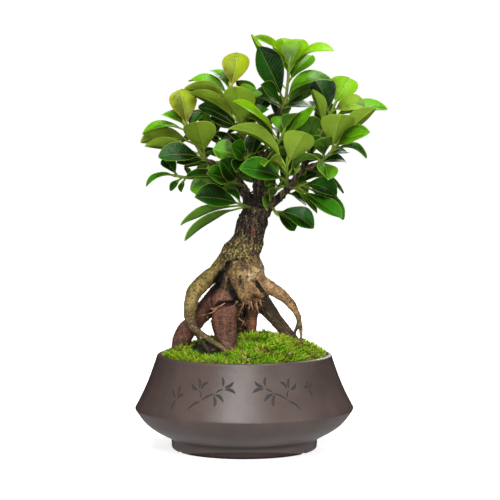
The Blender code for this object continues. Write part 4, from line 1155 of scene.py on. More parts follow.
SHOOTS = {
    "spray_front": (((287.4, 187, 19), (287, 174, 30), (287, 163, 36)), (
        Leaf(0.80, 305, 132, 46, 31, -75, 0.06), Leaf(0.70, 228, 128, 66, 24, -35, 0.20),
        Leaf(0.25, 239, 168, 54, 27, 55, 0.10), Leaf(0.55, 264, 166, 32, 19, -30, 0.26),
        Leaf(0.40, 320, 160, 44, 23, -25, 0.24), Leaf(0.95, 318, 143, -40, 22, 40, 0.12))),
    "spray_middle": (((266, 152.5, 10), (277, 145, 24), (283, 134, 31)), (
        Leaf(0.80, 287, 118, -40, 28, 75, 0.05), Leaf(0.65, 233, 101, 66, 22, 20, 0.08),
        Leaf(0.45, 243, 115.6, 50, 24, -20, 0.18), Leaf(0.70, 315, 106, 46, 20, 30, -0.06),
        Leaf(0.90, 302, 113, -42, 22, 30, 0.14))),
    "spray_top": (((281, 110, -5), (286, 97, -5), (289.5, 64, -5)), (
        Leaf(0.62, 251.4, 33.8, 59, 24, 14, -0.06), Leaf(0.34, 258, 46, -58, 30, 70, 0.04),
        Leaf(0.78, 283, 38, -44, 30, 72, 0.06), Leaf(0.82, 303, 39, -46, 29, 66, 0.08),
        Leaf(0.86, 334, 50, 46, 22, 22, 0.18), Leaf(0.70, 312, 55, -42, 27, 50, 0.05),
        Leaf(0.28, 332, 80, 54, 25, 35, 0.26), Leaf(0.20, 317, 86, -42, 22, -50, 0.08),
        Leaf(0.12, 261, 84.6, 40, 22, 40, 0.05), Leaf(0.08, 311, 107, -42, 22, 40, 0.08),
        Leaf(0.05, 261, 97, -36, 22, 45, 0.08))),
    "spray_upper_left": (((248.5, 143, 2.5), (239.5, 126, 8), (230.5, 89, 8)), (
        Leaf(0.97, 239, 52.7, -45, 28, 80, 0.04), Leaf(0.86, 188.5, 80.5, -50, 21, 35, 0.16),
        Leaf(0.95, 212, 70, -36, 21, 40, 0.10), Leaf(0.66, 184, 88, 57, 25, -38, 0.16),
        Leaf(0.54, 189, 92.5, 54, 22, -34, 0.10), Leaf(0.36, 236, 86, 52, 32, -78, 0.06),
        Leaf(0.76, 258, 90, -40, 24, 60, 0.08), Leaf(0.48, 267, 108, -40, 22, 45, 0.10),
        Leaf(0.34, 198, 106, 43, 25, 48, 0.12), Leaf(0.26, 209, 118, -36, 22, 40, 0.10))),
    "spray_left": (((210, 162, 10.5), (201.5, 154, 14), (186, 126, 10)), (
        Leaf(0.94, 180, 89, -46, 28, 80, 0.04), Leaf(0.90, 142, 134, 46, 20, 25, 0.16),
        Leaf(0.98, 163, 114, -34, 21, 40, 0.12), Leaf(0.66, 140, 142, 52, 25, -38, 0.15),
        Leaf(0.46, 144.6, 146, 52, 22, -34, 0.08), Leaf(0.34, 196, 121.5, 45, 33, -78, 0.06),
        Leaf(0.28, 158, 157, 44, 26, 50, 0.12), Leaf(0.20, 176.5, 163, 32, 21, 40, 0.06),
        Leaf(0.92, 201, 112, -28, 16, 50, 0.06))),
    "spray_right": (((314, 165.5, 19.5), (324, 159, 21), (334, 148, 21)), (
        Leaf(0.88, 342, 114, 49, 34, -76, 0.05), Leaf(0.98, 376, 107, 62, 23, -42, 0.06),
        Leaf(0.92, 370, 132, 47, 23, 42, 0.10), Leaf(0.50, 325, 137, 32, 20, -70, 0.06),
        Leaf(0.86, 367, 158, 46, 20, 22, 0.22), Leaf(0.40, 328, 180, 36, 22, 62, 0.08),
        Leaf(0.60, 347, 152, -30, 17, 40, 0.10), Leaf(0.55, 312, 136, -30, 17, 45, 0.05))),
    "spray_right_upper": (((316, 142, -5), (325, 126, -10), (334, 106, -10)), (
        Leaf(0.72, 313, 78, -50, 31, 62, 0.14), Leaf(0.96, 350, 78, -38, 30, 70, 0.06),
        Leaf(0.82, 365, 106, 38, 24, 45, 0.16), Leaf(0.60, 388, 109, 54, 22, 40, 0.14),
        Leaf(0.45, 313, 89, 42, 18, -40, 0.04), Leaf(0.35, 301, 127, -34, 25, 55, 0.08),
        Leaf(0.55, 309, 101, -36, 23, 45, 0.06))),
    "spray_small_left": (((208, 174.8, 11), (192, 178, 15), (177, 176, 17)), (
        Leaf(0.97, 163, 159, -26, 16, 60, 0.05), Leaf(0.90, 145.5, 186, 31, 14, 22, 0.18),
        Leaf(0.80, 170, 191, 16, 9, 50, 0.05), Leaf(0.70, 181, 192, 16, 9, 40, 0.05),
        Leaf(0.60, 186, 167, -14, 8, 50, 0.05))),
    "spray_low_left": (((252, 208, 6), (247, 206.5, 13), (242, 205, 19)), (
        Leaf(0.80, 194.5, 197, 54, 29, 50, 0.08), Leaf(0.95, 180, 225, 68, 18, -30, 0.08),
        Leaf(0.55, 184, 241, 70, 17, -32, 0.10), Leaf(0.98, 225, 189, -26, 14, 35, 0.08))),
    "spray_mid_left": (((243, 186, -1), (236, 183, 10), (229, 181, 18)), (
        Leaf(0.92, 190, 190, 42, 25, 64, 0.06), Leaf(0.75, 207, 174, 36, 22, 55, 0.06),
        Leaf(0.60, 185, 177, -48, 18, 35, 0.10), Leaf(0.45, 220, 160, 38, 25, 60, 0.08),
        Leaf(0.85, 210, 200, -34, 20, 40, 0.10))),
    "spray_inner_left": (((257, 171, -1), (250, 163, 10), (243, 157, 18)), (
        Leaf(0.90, 212.5, 149, 34, 23, 64, 0.06), Leaf(0.75, 231, 145, 30, 22, 55, 0.06),
        Leaf(0.60, 236, 172, 30, 20, 50, 0.10), Leaf(0.98, 210, 132, -44, 20, 32, 0.08),
        Leaf(0.80, 227, 133, -36, 20, 36, 0.08), Leaf(0.85, 264, 145, -30, 19, 45, 0.05),
        Leaf(0.50, 258, 132, -34, 20, 40, 0.05))),
    "spray_low_right": (((270, 204, 6), (273, 208.5, 12), (275, 211.5, 15)), (
        Leaf(0.95, 314, 228.5, 45, 25, 52, 0.16), Leaf(0.70, 295, 231, 31, 18, 58, 0.12))),
    "spray_right_low": (((290, 189, 13), (299, 186, 10), (306, 184, 8)), (
        Leaf(0.55, 337, 196, 44, 25, 42, 0.16), Leaf(0.90, 344, 193, -42, 17, 30, 0.20),
        Leaf(0.70, 344, 220, 56, 22, 40, 0.10), Leaf(0.80, 343, 212, -46, 14, 25, 0.14),
        Leaf(0.30, 315, 172, -32, 20, 45, 0.05))),
    "spray_stub": (((268, 192.2, 3), (276, 189, 8), (281, 187, 12)), (
        Leaf(0.75, 256, 167, 36, 22, 45, 0.06), Leaf(0.50, 267, 211, 28, 15, -30, 0.14),
        Leaf(0.95, 270, 201, -30, 17, 35, 0.10))),
}

BACK_SHOOTS = {
    # stem, number of leaves, the first leaf's turn in degrees, and the shortest and the longest
    # leaf in millimetres
    "spray_inner_middle": (((262, 133, -4), (265, 142, -14), (268, 150, -20)), 5, 60, (40, 52)),
    "spray_inner_right": (((306, 163, 10), (304, 154, 2), (303, 146, -6)), 5, 100, (40, 52)),
    "spray_back_middle": (((271, 154, -37), (277, 140, -46), (280, 124, -52)), 7, 20, (40, 52)),
    "spray_back_left": (((226, 159, -37), (220, 146, -44), (216, 132, -48)), 7, 70, (40, 52)),
    "spray_back_right": (((303, 164, -31), (309, 152, -40), (313, 138, -46)), 7, 130, (40, 52)),
    "spray_back_high": (((254, 136, -21), (254, 126, -30), (255, 114, -36)), 6, 200, (40, 52)),
    "spray_back_low_left": (((243, 184, -43), (239, 174, -54), (236, 162, -60)), 6, 310, (40, 52)),
    "spray_back_low_right": (((281, 184, -42), (288, 174, -54), (292, 162, -60)), 6, 40, (40, 52)),
    "spray_inner_high": (((253, 148, -6), (244, 138, -12), (236, 127, -16)), 6, 150, (32, 39)),
    "spray_inner_fork": (((242, 185, -6), (236, 173, -14), (231, 160, -20)), 6, 20, (32, 39)),
    "spray_inner_low_right": (((290, 187, 9), (295, 175, 2), (299, 162, -4)), 6, 250, (32, 39)),
}
print("shoots:", len(SHOOTS) + len(BACK_SHOOTS))

# %% Place the leaves clear of each other
BLADE_THICKNESS = 0.8 * MM
CLEARING_MARGIN = 0.55 * MM
PETIOLE_PART = 0.15
PETIOLE_WIDTH = 2.2 * MM
TIP_WIDTH = 1.6 * MM
WIDEST_POWER = 1.36
ROUNDNESS = 0.72
FOLD = 0.16
LARGE_STATIONS = ((0.0, 2), (0.15, 2), (0.36, 3), (0.62, 3), (0.87, 3), (1.0, 1))
SMALL_STATIONS = ((0.0, 2), (0.16, 2), (0.52, 3), (0.86, 3), (1.0, 1))
SMALL_LEAF = 39.0
CLEAR_FROM = 0.07
LIMB_MARGIN = 0.9 * MM
LIMB_GUARD_SIDES = 8
STEM_GUARD_SIDES = 6
STEM_RADII = (1.8 * MM, 1.4 * MM)
BUD_LENGTH = 8 * MM
SHIFTS = (0, 4, -4, 8, -8, 12, -12, 17, -17, 23, -23, 30, -30, 38, -38)
TURNS = (0, 8, -8, 16, -16, 26, -26)
SHORTER = (1.0, 0.88, 0.76, 0.62)
BACK_LEAF_WIDTH = 0.52
BACK_LEAF_LEAN = (88.0, 42.0)
BACK_LEAF_SWAY = 8.0
BACK_LEAF_SHORTENING = 0.15
BACK_LEAF_ARCH = (0.05, 0.16)
BACK_STEM_PART = (0.25, 0.97)
BACK_SEED = 7


def tube(centres, radii, sides):
    """A closed round tube along a path, as points and faces."""
    vertices = []
    faces = []
    across = None
    for index, centre in enumerate(centres):
        behind = centres[max(index - 1, 0)]
        ahead = centres[min(index + 1, len(centres) - 1)]
        along = (ahead - behind).normalized()
        if across is None:
            across = along.orthogonal().normalized()
        across = (across - along * across.dot(along)).normalized()
        beside = along.cross(across)
        for side in range(sides):
            angle = math.tau * side / sides
            offset = across * math.cos(angle) + beside * math.sin(angle)
            vertices.append(centre + offset * radii[index])
    for ring in range(len(centres) - 1):
        for side in range(sides):
            following = (side + 1) % sides
            low = ring * sides
            high = low + sides
            faces.append((low + side, low + following, high + following, high + side))
    faces.append(tuple(reversed(range(sides))))
    last = (len(centres) - 1) * sides
    faces.append(tuple(range(last, last + sides)))
    return vertices, faces


def stem_path(stem):
    """A shoot's stem as points from its limb to its bud."""
    return [seen(*point) for point in smooth_path(stem, 2)]


def bud_tip(path):
    """The tip of the bud that ends a stem."""
    return path[-1] + (path[-1] - path[-2]).normalized() * BUD_LENGTH


def point_on(path, part):
    """The point at a part of a path's length."""
    place = part * (len(path) - 1)
    index = min(int(place), len(path) - 2)
    return path[index].lerp(path[index + 1], place - index)


def blade_width(t, width):
    """A leaf's width at a part of its length: a petiole, then an egg shape, widest past half."""
    if t <= PETIOLE_PART:
        return PETIOLE_WIDTH
    u = (t - PETIOLE_PART) / (1 - PETIOLE_PART)
    swell = max(math.sin(math.pi * u ** WIDEST_POWER), 0.0) ** ROUNDNESS
    return max(width * swell, PETIOLE_WIDTH * (1 - u) + TIP_WIDTH * u)


def blade(base, tip, upper, width, arch, stations, thickness):
    """A leaf as a thin closed solid of few faces, to test whether it is in another's way."""
    length = (tip - base).length
    bend = (base + tip) / 2 + upper * (arch * length * 2)
    top = []
    under = []
    rows = []
    for t, across in stations:
        centre = base * (1 - t) ** 2 + bend * (2 * t * (1 - t)) + tip * t ** 2
        along = ((bend - base) * (1 - t) + (tip - bend) * t).normalized()
        normal = (upper - along * upper.dot(along)).normalized()
        side = along.cross(normal)
        half = blade_width(t, width) / 2
        lift = normal * (FOLD * 2 * half) if across == 3 else Vector()
        points = {1: [centre], 2: [centre - side * half, centre + side * half],
                  3: [centre - side * half + lift, centre, centre + side * half + lift]}[across]
        rows.append([len(top) + index for index in range(across)])
        top += points
        under += [point - normal * thickness for point in points]
    shift = len(top)
    upper_faces = []
    rim = []
    for low, high in zip(rows, rows[1:]):
        kind = (len(low), len(high))
        if kind == (2, 2):
            upper_faces += [(low[0], low[1], high[1]), (low[0], high[1], high[0])]
        elif kind == (2, 3):
            upper_faces += [(low[0], low[1], high[1]), (low[0], high[1], high[0]),
                            (low[1], high[2], high[1])]
        elif kind == (3, 3):
            upper_faces += [(low[0], low[1], high[1]), (low[0], high[1], high[0]),
                            (low[1], low[2], high[2]), (low[1], high[2], high[1])]
        else:
            upper_faces += [(low[0], low[1], high[0]), (low[1], low[2], high[0])]
        rim += [(high[0], low[0]), (low[-1], high[-1])]
    rim.append((rows[0][0], rows[0][1]))
    faces = list(upper_faces)
    faces += [tuple(index + shift for index in reversed(face)) for face in upper_faces]
    for start, end in rim:
        faces += [(end, start, start + shift), (end, start + shift, end + shift)]
    return top + under, faces


def stations_for(base, tip, start=0.0):
    """A leaf's stations by its length, from a part of that length on."""
    stations = LARGE_STATIONS if (tip - base).length > SMALL_LEAF * MM else SMALL_STATIONS
    return ((start, 2),) + stations[1:]


def facing(along, face):
    """The upper side's normal of a leaf in the front view, for a turn in degrees."""
    to_viewer = (along * AHEAD.dot(along) - AHEAD).normalized()
    edge_on = along.cross(to_viewer)
    if edge_on.z < 0:
        edge_on = -edge_on
    turn = math.radians(face)
    return edge_on * math.cos(turn) + to_viewer * math.sin(turn)


def drawn_leaf(path, leaf):
    """Base, tip and upper normal of a leaf that is drawn in the front view."""
    base = point_on(path, leaf.start)
    level = seen(leaf.column, leaf.row, -base.y / MM)
    across = (level - base).length
    depth = math.sqrt(max((abs(leaf.reach) * MM) ** 2 - across ** 2, 0.0))
    nearer = -base.y + math.copysign(depth, leaf.reach)
    tip = seen(leaf.column, leaf.row, nearer / MM)
    return base, tip, facing((tip - base).normalized(), leaf.face)


def back_leaves(path, count, first_turn, lengths, dice):
    """Leaves of a shoot that stands inside or behind, in a rising spiral round its stem."""
    axis = (path[-1] - path[0]).normalized()
    across = axis.orthogonal().normalized()
    beside = axis.cross(across)
    leaves = []
    for index in range(count):
        part = (index + 1) / count
        turn = math.radians(first_turn) + GOLDEN_ANGLE * index
        outward = across * math.cos(turn) + beside * math.sin(turn)
        lean = math.radians(BACK_LEAF_LEAN[0] * (1 - part) + BACK_LEAF_LEAN[1] * part
                            + dice.uniform(-BACK_LEAF_SWAY, BACK_LEAF_SWAY))
        along = axis * math.cos(lean) + outward * math.sin(lean)
        length = dice.uniform(*lengths) * MM * (1 - BACK_LEAF_SHORTENING * part)
        base = point_on(path, BACK_STEM_PART[0] * (1 - part) + BACK_STEM_PART[1] * part)
        upper = (axis - along * axis.dot(along)).normalized()
        leaves.append((base, base + along * length, upper, length / MM * BACK_LEAF_WIDTH,
                       dice.uniform(*BACK_LEAF_ARCH)))
    return leaves


def triangle_tree(vertices, faces):
    """A search tree for overlap tests."""
    return BVHTree.FromPolygons([tuple(point) for point in vertices], faces, epsilon=0.0)


def limb_guards():
    """The limbs, each with a little room round it, which no leaf may run through."""
    guards = []
    for limb in LIMBS:
        centres, radii = limb_path(limb)
        radii = [radius + LIMB_MARGIN for radius in radii]
        guards.append(triangle_tree(*tube(centres, radii, LIMB_GUARD_SIDES)))
    return guards


def stem_guard(path):
    """The room that a stem and its bud take."""
    centres = path + [bud_tip(path)]
    radii = [STEM_RADII[0] + CLEARING_MARGIN] * len(centres)
    return triangle_tree(*tube(centres, radii, STEM_GUARD_SIDES))


def leaf_guard(settled):
    """The room that a placed leaf takes."""
    base, tip, upper, width, arch = settled
    stations = stations_for(base, tip, CLEAR_FROM)
    return triangle_tree(*blade(base, tip, upper, width * MM, arch, stations, BLADE_THICKNESS))


def trials():
    """Small changes of place and turn for a leaf that is in the way, the least first."""
    moves = [(shift, turn) for shift in SHIFTS for turn in TURNS]
    return sorted(moves, key=lambda move: abs(move[0]) / max(SHIFTS) + abs(move[1]) / max(TURNS))


def settle(leaf, guards, others, own):
    """Bends a leaf clear of what it may not touch. Returns its blade's base, tip, upper normal,
    width and arch, or None where there is no room."""
    base, tip, upper, width, arch = leaf
    toward = (EYE - tip).normalized()
    tries = [(others + own, SHORTER[0])] + [(others, scale) for scale in SHORTER]
    for blocks, scale in tries:
        for shift, turn in trials():
            end = base + (tip + toward * shift * MM - base) * scale
            along = (end - base).normalized()
            turned_up = Matrix.Rotation(math.radians(turn), 3, along) @ upper
            turned_up = (turned_up - along * turned_up.dot(along)).normalized()
            test = blade(base + turned_up * CLEARING_MARGIN, end + turned_up * CLEARING_MARGIN,
                         turned_up, width * MM * scale, arch, stations_for(base, end, CLEAR_FROM),
                         BLADE_THICKNESS + 2 * CLEARING_MARGIN)
            tree = triangle_tree(*test)
            if not any(tree.overlap(block) for block in guards + blocks):
                return base, end, turned_up, width * scale, arch
    return None


def settle_all():
    """Places every leaf of every shoot clear of the others. Returns each shoot's stem path
    and its leaves, with None for a leaf that finds no room."""
    dice = random.Random(BACK_SEED)
    stems = {name: stem_path(stem) for name, (stem, _) in SHOOTS.items()}
    wanted = {}
    for name, (_, leaves) in SHOOTS.items():
        wanted[name] = [drawn_leaf(stems[name], leaf) + (leaf.width, leaf.arch) for leaf in leaves]
    for name, (stem, count, first_turn, lengths) in BACK_SHOOTS.items():
        stems[name] = stem_path(stem)
        wanted[name] = back_leaves(stems[name], count, first_turn, lengths, dice)
    limbs = limb_guards()
    stem_trees = {name: stem_guard(path) for name, path in stems.items()}
    placed = {name: [] for name in wanted}
    trees = {name: [] for name in wanted}
    for name, leaves in wanted.items():
        guards = limbs + [tree for other, tree in stem_trees.items() if other != name]
        for leaf in leaves:
            others = [tree for other in trees if other != name for tree in trees[other]]
            settled = settle(leaf, guards, others, trees[name])
            placed[name].append(settled)
            if settled is not None:
                trees[name].append(leaf_guard(settled))
    return stems, placed


stems, placed = settle_all()
print("leaves:", sum(leaf is not None for leaves in placed.values() for leaf in leaves))

# %% [markdown]
# ## More leaves on the limbs
#
# A few more leaves grow straight from the bark or from a stem, and fill the gaps between the
# shoots. They are drawn like the others, and follow the spiral rule behind. They are placed last,
# so that no leaf of the solid model moves, and each one's foot is brought towards the middle of
# its limb or stem.

# %% Grow leaves from the limbs
LIMB_LEAVES = (
    ("spray_top", Leaf(0.97, 253, 37, 52.0, 18, 25, 0.12)),
    ("spray_right_low", Leaf(0.40, 342, 218, 66, 21, 50, 0.0)),
    ("spray_right_low", Leaf(0.25, 317, 213, 42, 9, 50, 0.05)),
    ("right_fork", Leaf(0.42, 306, 203, -34, 16, 45, 0.06)),
    ("left_fork", Leaf(0.33, 222, 161, 48, 21, 65, 0.06)),
    ("spray_right", Leaf(0.10, 346, 161, -42, 15, 45, 0.10)),
    ("left_fork", Leaf(0.85, 184, 166, -38, 15, 45, 0.08)))
BACK_LIMBS = ("back_left_limb", "back_right_limb", "back_low_left_limb", "back_low_right_limb",
              "back_middle_limb")
BACK_LIMB_LEAVES = 3
BACK_LIMB_LENGTHS = (34, 44)
FOOT_ROOM = 1.2 * MM
FOOT_DEPTH = 0.4
LIMB_SEED = 11


def limb_leaves():
    """Places the leaves that grow from the limbs, clear of all others."""
    dice = random.Random(LIMB_SEED)
    wanted = []
    for name, leaf in LIMB_LEAVES:
        centres, radii = limb_path(name) if name in LIMBS else (stems[name], STEM_RADII[:1])
        wanted.append((centres, radii, drawn_leaf(centres, leaf) + (leaf.width, leaf.arch)))
    for limb in BACK_LIMBS:
        centres, radii = limb_path(limb)
        turn = dice.uniform(0, 360)
        for leaf in back_leaves(centres, BACK_LIMB_LEAVES, turn, BACK_LIMB_LENGTHS, dice):
            wanted.append((centres, radii, leaf))
    guards = limb_guards() + [stem_guard(path) for path in stems.values()]
    others = [leaf_guard(leaf) for leaves in placed.values() for leaf in leaves if leaf]
    result = []
    for centres, radii, leaf in wanted:
        inside = leaf[0]
        nearest = min(range(len(radii)), key=lambda index: (centres[index] - inside).length)
        outward = (leaf[1] - inside).normalized()
        foot = inside + outward * (radii[nearest] + FOOT_ROOM)
        settled = settle((foot,) + leaf[1:], guards, others, [])
        if settled:
            others.append(leaf_guard(settled))
            settled = (inside + outward * radii[nearest] * FOOT_DEPTH,) + settled[1:]
        result.append(settled)
    return result


placed["limb_leaves"] = limb_leaves()
print("limb leaves:", sum(leaf is not None for leaf in placed["limb_leaves"]))

# %% [markdown]
# ## The tone of each leaf
#
# New leaves at the tips are yellow-green, the youngest of all are olive with a red rim, and
# leaves deepen to a dark glossy green as they age. Undersides are matt and pale. A leaf's age is
# a word in the order in which its shoot lists it, and shoots behind draw theirs by chance.

# %% Name the ages of the leaves
LEAF_TONES = {
    # upper side, underside and how red the rim is
    "dark": (tone(24, 78, 8), tone(70, 104, 32), 0.0),
    "green": (tone(46, 116, 8), tone(90, 136, 38), 0.0),
    "bright": (tone(92, 158, 8), tone(150, 182, 58), 0.0),
    "new": (tone(122, 178, 8), tone(156, 194, 44), 0.1),
    "olive": (tone(120, 156, 26), tone(134, 166, 42), 0.3),
    "young": (tone(150, 172, 20), tone(142, 164, 34), 1.0),
}
AGES = {
    "spray_front": "bright bright green bright green green",
    "spray_middle": "bright new olive bright bright",
    "spray_top": "new dark new new new bright bright green dark green dark",
    "spray_upper_left": "young bright bright olive olive olive bright green dark dark",
    "spray_left": "young bright bright olive olive olive dark dark green",
    "spray_right": "bright bright bright green green bright dark green",
    "spray_right_upper": "dark new olive bright bright dark dark",
    "spray_small_left": "dark green dark dark dark",
    "spray_low_left": "dark green green dark",
    "spray_mid_left": "bright green dark dark dark",
    "spray_inner_left": "bright green dark dark dark dark dark",
    "spray_low_right": "dark dark",
    "spray_right_low": "dark dark green dark dark",
    "spray_stub": "dark green dark",
    "limb_leaves": "new green green dark dark dark dark" + " dark green dark" * 5,
}
AGE_SEED = 21


def ages_of(name, count, dice):
    """The age of each leaf of a shoot."""
    if name in AGES:
        return AGES[name].split()
    return [dice.choice(("dark", "dark", "green", "green", "bright")) for _ in range(count)]


print("leaf tones:", len(LEAF_TONES))

# %% [markdown]
# ## A leaf
#
# The blade of this fig is thick and egg-shaped, folded a little along its midrib, with a rib that
# stands proud below. One master slab serves for all of them: its columns crowd at the rib and at
# the rim, and each copy is bent along its own arch. Each point stores how far it lies along and
# across the blade and from its rim, in millimetres, so that veins and rim keep their true width.

# %% Bend copies of the master leaf
COLUMNS = (0.0, 0.06, 0.16, 0.38, 0.62, 0.82, 0.94, 1.0)
ROWS = (0.0, 0.05, 0.10, 0.15, 0.18, 0.215, 0.26, 0.32, 0.39, 0.46, 0.54, 0.62, 0.70, 0.78, 0.85,
        0.91, 0.96, 0.99, 1.0)
RIM_THICKNESS = 0.35 * MM
MIDDLE_THICKNESS = 0.62 * MM
RIB_WIDTH = 1.1 * MM
RIB_DEPTH = 0.55 * MM
CHANNEL_DEPTH = 0.22 * MM
PETIOLE_DEPTH = 1.5 * MM
CUP_POWER = 1.35
RIPPLE = 0.020
RIPPLES = (1.3, 2.4)
OPENING_PART = 0.14
LEAF_ANGLE = 50
LEAF_TRIM = 0.992
LEAF_SEED = 5

across, along, below, LEAF_FACES = slab(2 * (len(COLUMNS) - 1), len(ROWS) - 1)
column = np.abs(across) * (len(COLUMNS) - 1)
LEAF_ACROSS = np.sign(across) * np.interp(column, range(len(COLUMNS)), COLUMNS)
LEAF_ALONG = np.interp(along * (len(ROWS) - 1), range(len(ROWS)), ROWS)
LEAF_BELOW = below > 0.5


def leaf_copy(leaf, dice):
    """A copy of the master leaf: its points, and along, across and rim for each of them."""
    base, tip, upper, width, arch = leaf
    base, tip, upper = np.array(base), np.array(base.lerp(tip, LEAF_TRIM)), np.array(upper)
    length = np.linalg.norm(tip - base)
    bend = (base + tip) / 2 + upper * (arch * length * 2)
    t = LEAF_ALONG[:, None]
    centre = base * (1 - t) ** 2 + bend * (2 * t * (1 - t)) + tip * t ** 2
    heading = unit((bend - base) * (1 - t) + (tip - bend) * t)
    normal = unit(upper - heading * (heading @ upper)[:, None])
    side = np.cross(heading, normal)
    half = np.array([blade_width(part, width * MM) for part in ROWS]) / 2
    half = np.interp(LEAF_ALONG, ROWS, half)
    opened = np.clip((LEAF_ALONG - PETIOLE_PART) / OPENING_PART, 0, 1)
    opened = opened * opened * (3 - 2 * opened)
    reach = np.abs(LEAF_ACROSS)
    aside = LEAF_ACROSS * half
    waves = dice.uniform(*RIPPLES) * LEAF_ALONG + dice.random()
    ripple = np.sin(math.tau * waves + LEAF_ACROSS)
    lift = FOLD * 2 * half * reach ** CUP_POWER + RIPPLE * width * MM * ripple * reach ** 2
    rib = np.exp(-np.square(aside / (RIB_WIDTH / 2)))
    round_stalk = np.sqrt(np.clip(1 - reach ** 2, 0, 1))
    thick = RIM_THICKNESS + (MIDDLE_THICKNESS - RIM_THICKNESS) * (1 - reach ** 2) + RIB_DEPTH * rib
    stalk = RIM_THICKNESS + (PETIOLE_DEPTH - RIM_THICKNESS) * round_stalk
    sunk = np.where(LEAF_BELOW, stalk * (1 - opened) + thick * opened, CHANNEL_DEPTH * rib * opened)
    places = centre + side * aside[:, None] + normal * (lift * opened - sunk)[:, None]
    marks = np.stack([LEAF_ALONG * length, aside, half * (1 - reach)], 1) / MM
    return places, marks


print("master leaf:", len(LEAF_FACES), "faces")

# %% [markdown]
# ## Leaf surface
#
# The upper side is waxy and shines, the underside is matt. A pale line runs round the rim: partly
# the leaf's own pale margin, partly a painted highlight on its rounded edge. The midrib is lighter
# than the blade, and fine side veins leave it at a steep angle. They show as a change of tone and as
# a slight relief. Painted shade darkens each blade towards its stalk and where other leaves crowd
# round it.

# %% Mix the leaf
VEIN_STEP = 3.4
leaf_finish = Shader("leaf")
run, aside, rim = leaf_finish.parts(leaf_finish.own("blade", "Vector"))
top, part, shelter = leaf_finish.parts(leaf_finish.own("lie", "Vector"))
tint = leaf_finish.own("tint", "Color")
redness = leaf_finish.own("tint", "Alpha")
where = leaf_finish.place()
aside = leaf_finish.sum("ABSOLUTE", aside)
cloud = leaf_finish.noise(where, 80.0, 3.0)
wander = leaf_finish.noise(where, 160.0, 2.0)
specks = leaf_finish.cells(where, 700.0)
vein = leaf_finish.sum("PINGPONG", run - 0.62 * aside + 1.2 * wander, VEIN_STEP / 2)
vein = (1 - leaf_finish.step(vein, 0.0, 0.45)) * leaf_finish.step(aside, 0.5, 2.0)
rib = 1 - leaf_finish.step(aside, 0.15, 0.70)
stalk = 1 - leaf_finish.step(run, 4.0, 9.0)
border = 1 - leaf_finish.step(rim, 0.15, 0.85)
light = tone(164, 190, 60)
# Painted shade: the blade darkens towards its stalk.
colour = leaf_finish.shaded(tint, 0.46 + 0.34 * cloud + 0.56 * leaf_finish.step(part, 0.1, 0.9))
# Painted shade where leaves crowd round a point, weaker on light yellow-green tints.
new = leaf_finish.step(leaf_finish.parts(tint)[1], 0.30, 0.50)
colour = leaf_finish.shaded(
    colour, 1.0 - (0.80 - 0.45 * new) * leaf_finish.step(shelter, 0.15, 0.50))
colour = leaf_finish.mix(0.07 * vein, colour, light)
colour = leaf_finish.mix(0.30 * rib * (1 - 0.5 * part) + 0.40 * stalk * (1 - rib), colour, light)
# The pale rim is partly the leaf's own margin and partly a painted highlight on its rounded edge.
colour = leaf_finish.mix(0.55 * border * (1 - redness), colour, light)
blush = redness * (1 - leaf_finish.step(rim, 0.3, 4.5))
colour = leaf_finish.mix(0.28 * blush, colour, tone(180, 116, 36))
colour = leaf_finish.mix(0.35 * redness * (1 - leaf_finish.step(specks, 0.10, 0.20)), colour,
                         tone(224, 214, 120))
relief = leaf_finish.bump(leaf_finish.noise(where, 240.0, 2.0), 0.0006)
relief = leaf_finish.bump(vein * (0.5 - top), 0.00016, relief)
leaf_finish.surface.inputs["Specular IOR Level"].default_value = 0.22
leaf_finish.finish(Base_Color=colour, Roughness=0.58 - 0.26 * top + 0.10 * cloud, Normal=relief)
print("leaf nodes:", len(leaf_finish.tree.nodes))

# %% [markdown]
# ## Stems and buds
#
# A shoot's stem is green and firm, and it ends in a bud wrapped in a pointed sheath. It is a rod
# whose radius swells a little at the foot of the bud and runs out to the tip.

# %% Mix the stem and model it
STEM_STEPS = 3
BUD_OUTLINE = ((0.0, 1.4), (0.2, 1.65), (0.45, 1.45), (0.7, 0.95), (0.9, 0.5), (1.0, 0.2))

stem_finish = Shader("stem")
where = stem_finish.place()
share = stem_finish.own("youth")
streak = stem_finish.noise(where, 420.0, 3.0)
colour = stem_finish.mix(share, tone(84, 84, 42), tone(124, 160, 48))
colour = stem_finish.mix(0.5 * stem_finish.step(streak, 0.52, 0.7), colour, tone(84, 74, 44))
stem_finish.finish(Base_Color=colour, Roughness=0.5 + 0.2 * streak,
                   Normal=stem_finish.bump(streak, 0.0003))


def stem_piece(name, path):
    """A shoot's stem with its bud."""
    centres = [Vector(point) for point in smooth_path([tuple(point) for point in path], STEM_STEPS)]
    thinning = STEM_RADII[1] - STEM_RADII[0]
    radii = [STEM_RADII[0] + thinning * index / (len(centres) - 1) for index in range(len(centres))]
    tip = bud_tip(path)
    for part, radius in BUD_OUTLINE[1:]:
        centres.append(path[-1].lerp(tip, part))
        radii.append(radius * MM)
    stem = rod(name, centres, radii, 3)
    start = np.array(path[0])
    far = np.linalg.norm(points_of(stem) - start, axis=1)
    mark(stem, "youth", "FLOAT", far / far.max())
    stem.data.materials.append(stem_finish.material)
    return stem


print("stem nodes:", len(stem_finish.tree.nodes))

# %% Bend the leaves of every shoot
LEAF_SHADES = (0.86, 1.14)


def bent_leaves(name, dice, age_dice):
    """All leaves of a shoot: their points, faces, marks and tints."""
    copies = []
    marks = []
    tints = []
    for leaf, age in zip(placed[name], ages_of(name, len(placed[name]), age_dice)):
        if leaf is None:
            continue
        points, values = leaf_copy(leaf, dice)
        upper_tone, under_tone, redness = LEAF_TONES[age]
        shade = dice.uniform(*LEAF_SHADES)
        colours = np.where(LEAF_BELOW[:, None], under_tone[:3], upper_tone[:3]) * shade
        copies.append(points)
        marks.append(values)
        tints.append(np.column_stack([colours, np.full(len(points), redness)]))
    places, faces = joined(copies, LEAF_FACES)
    return places, faces, np.concatenate(marks), np.concatenate(tints)


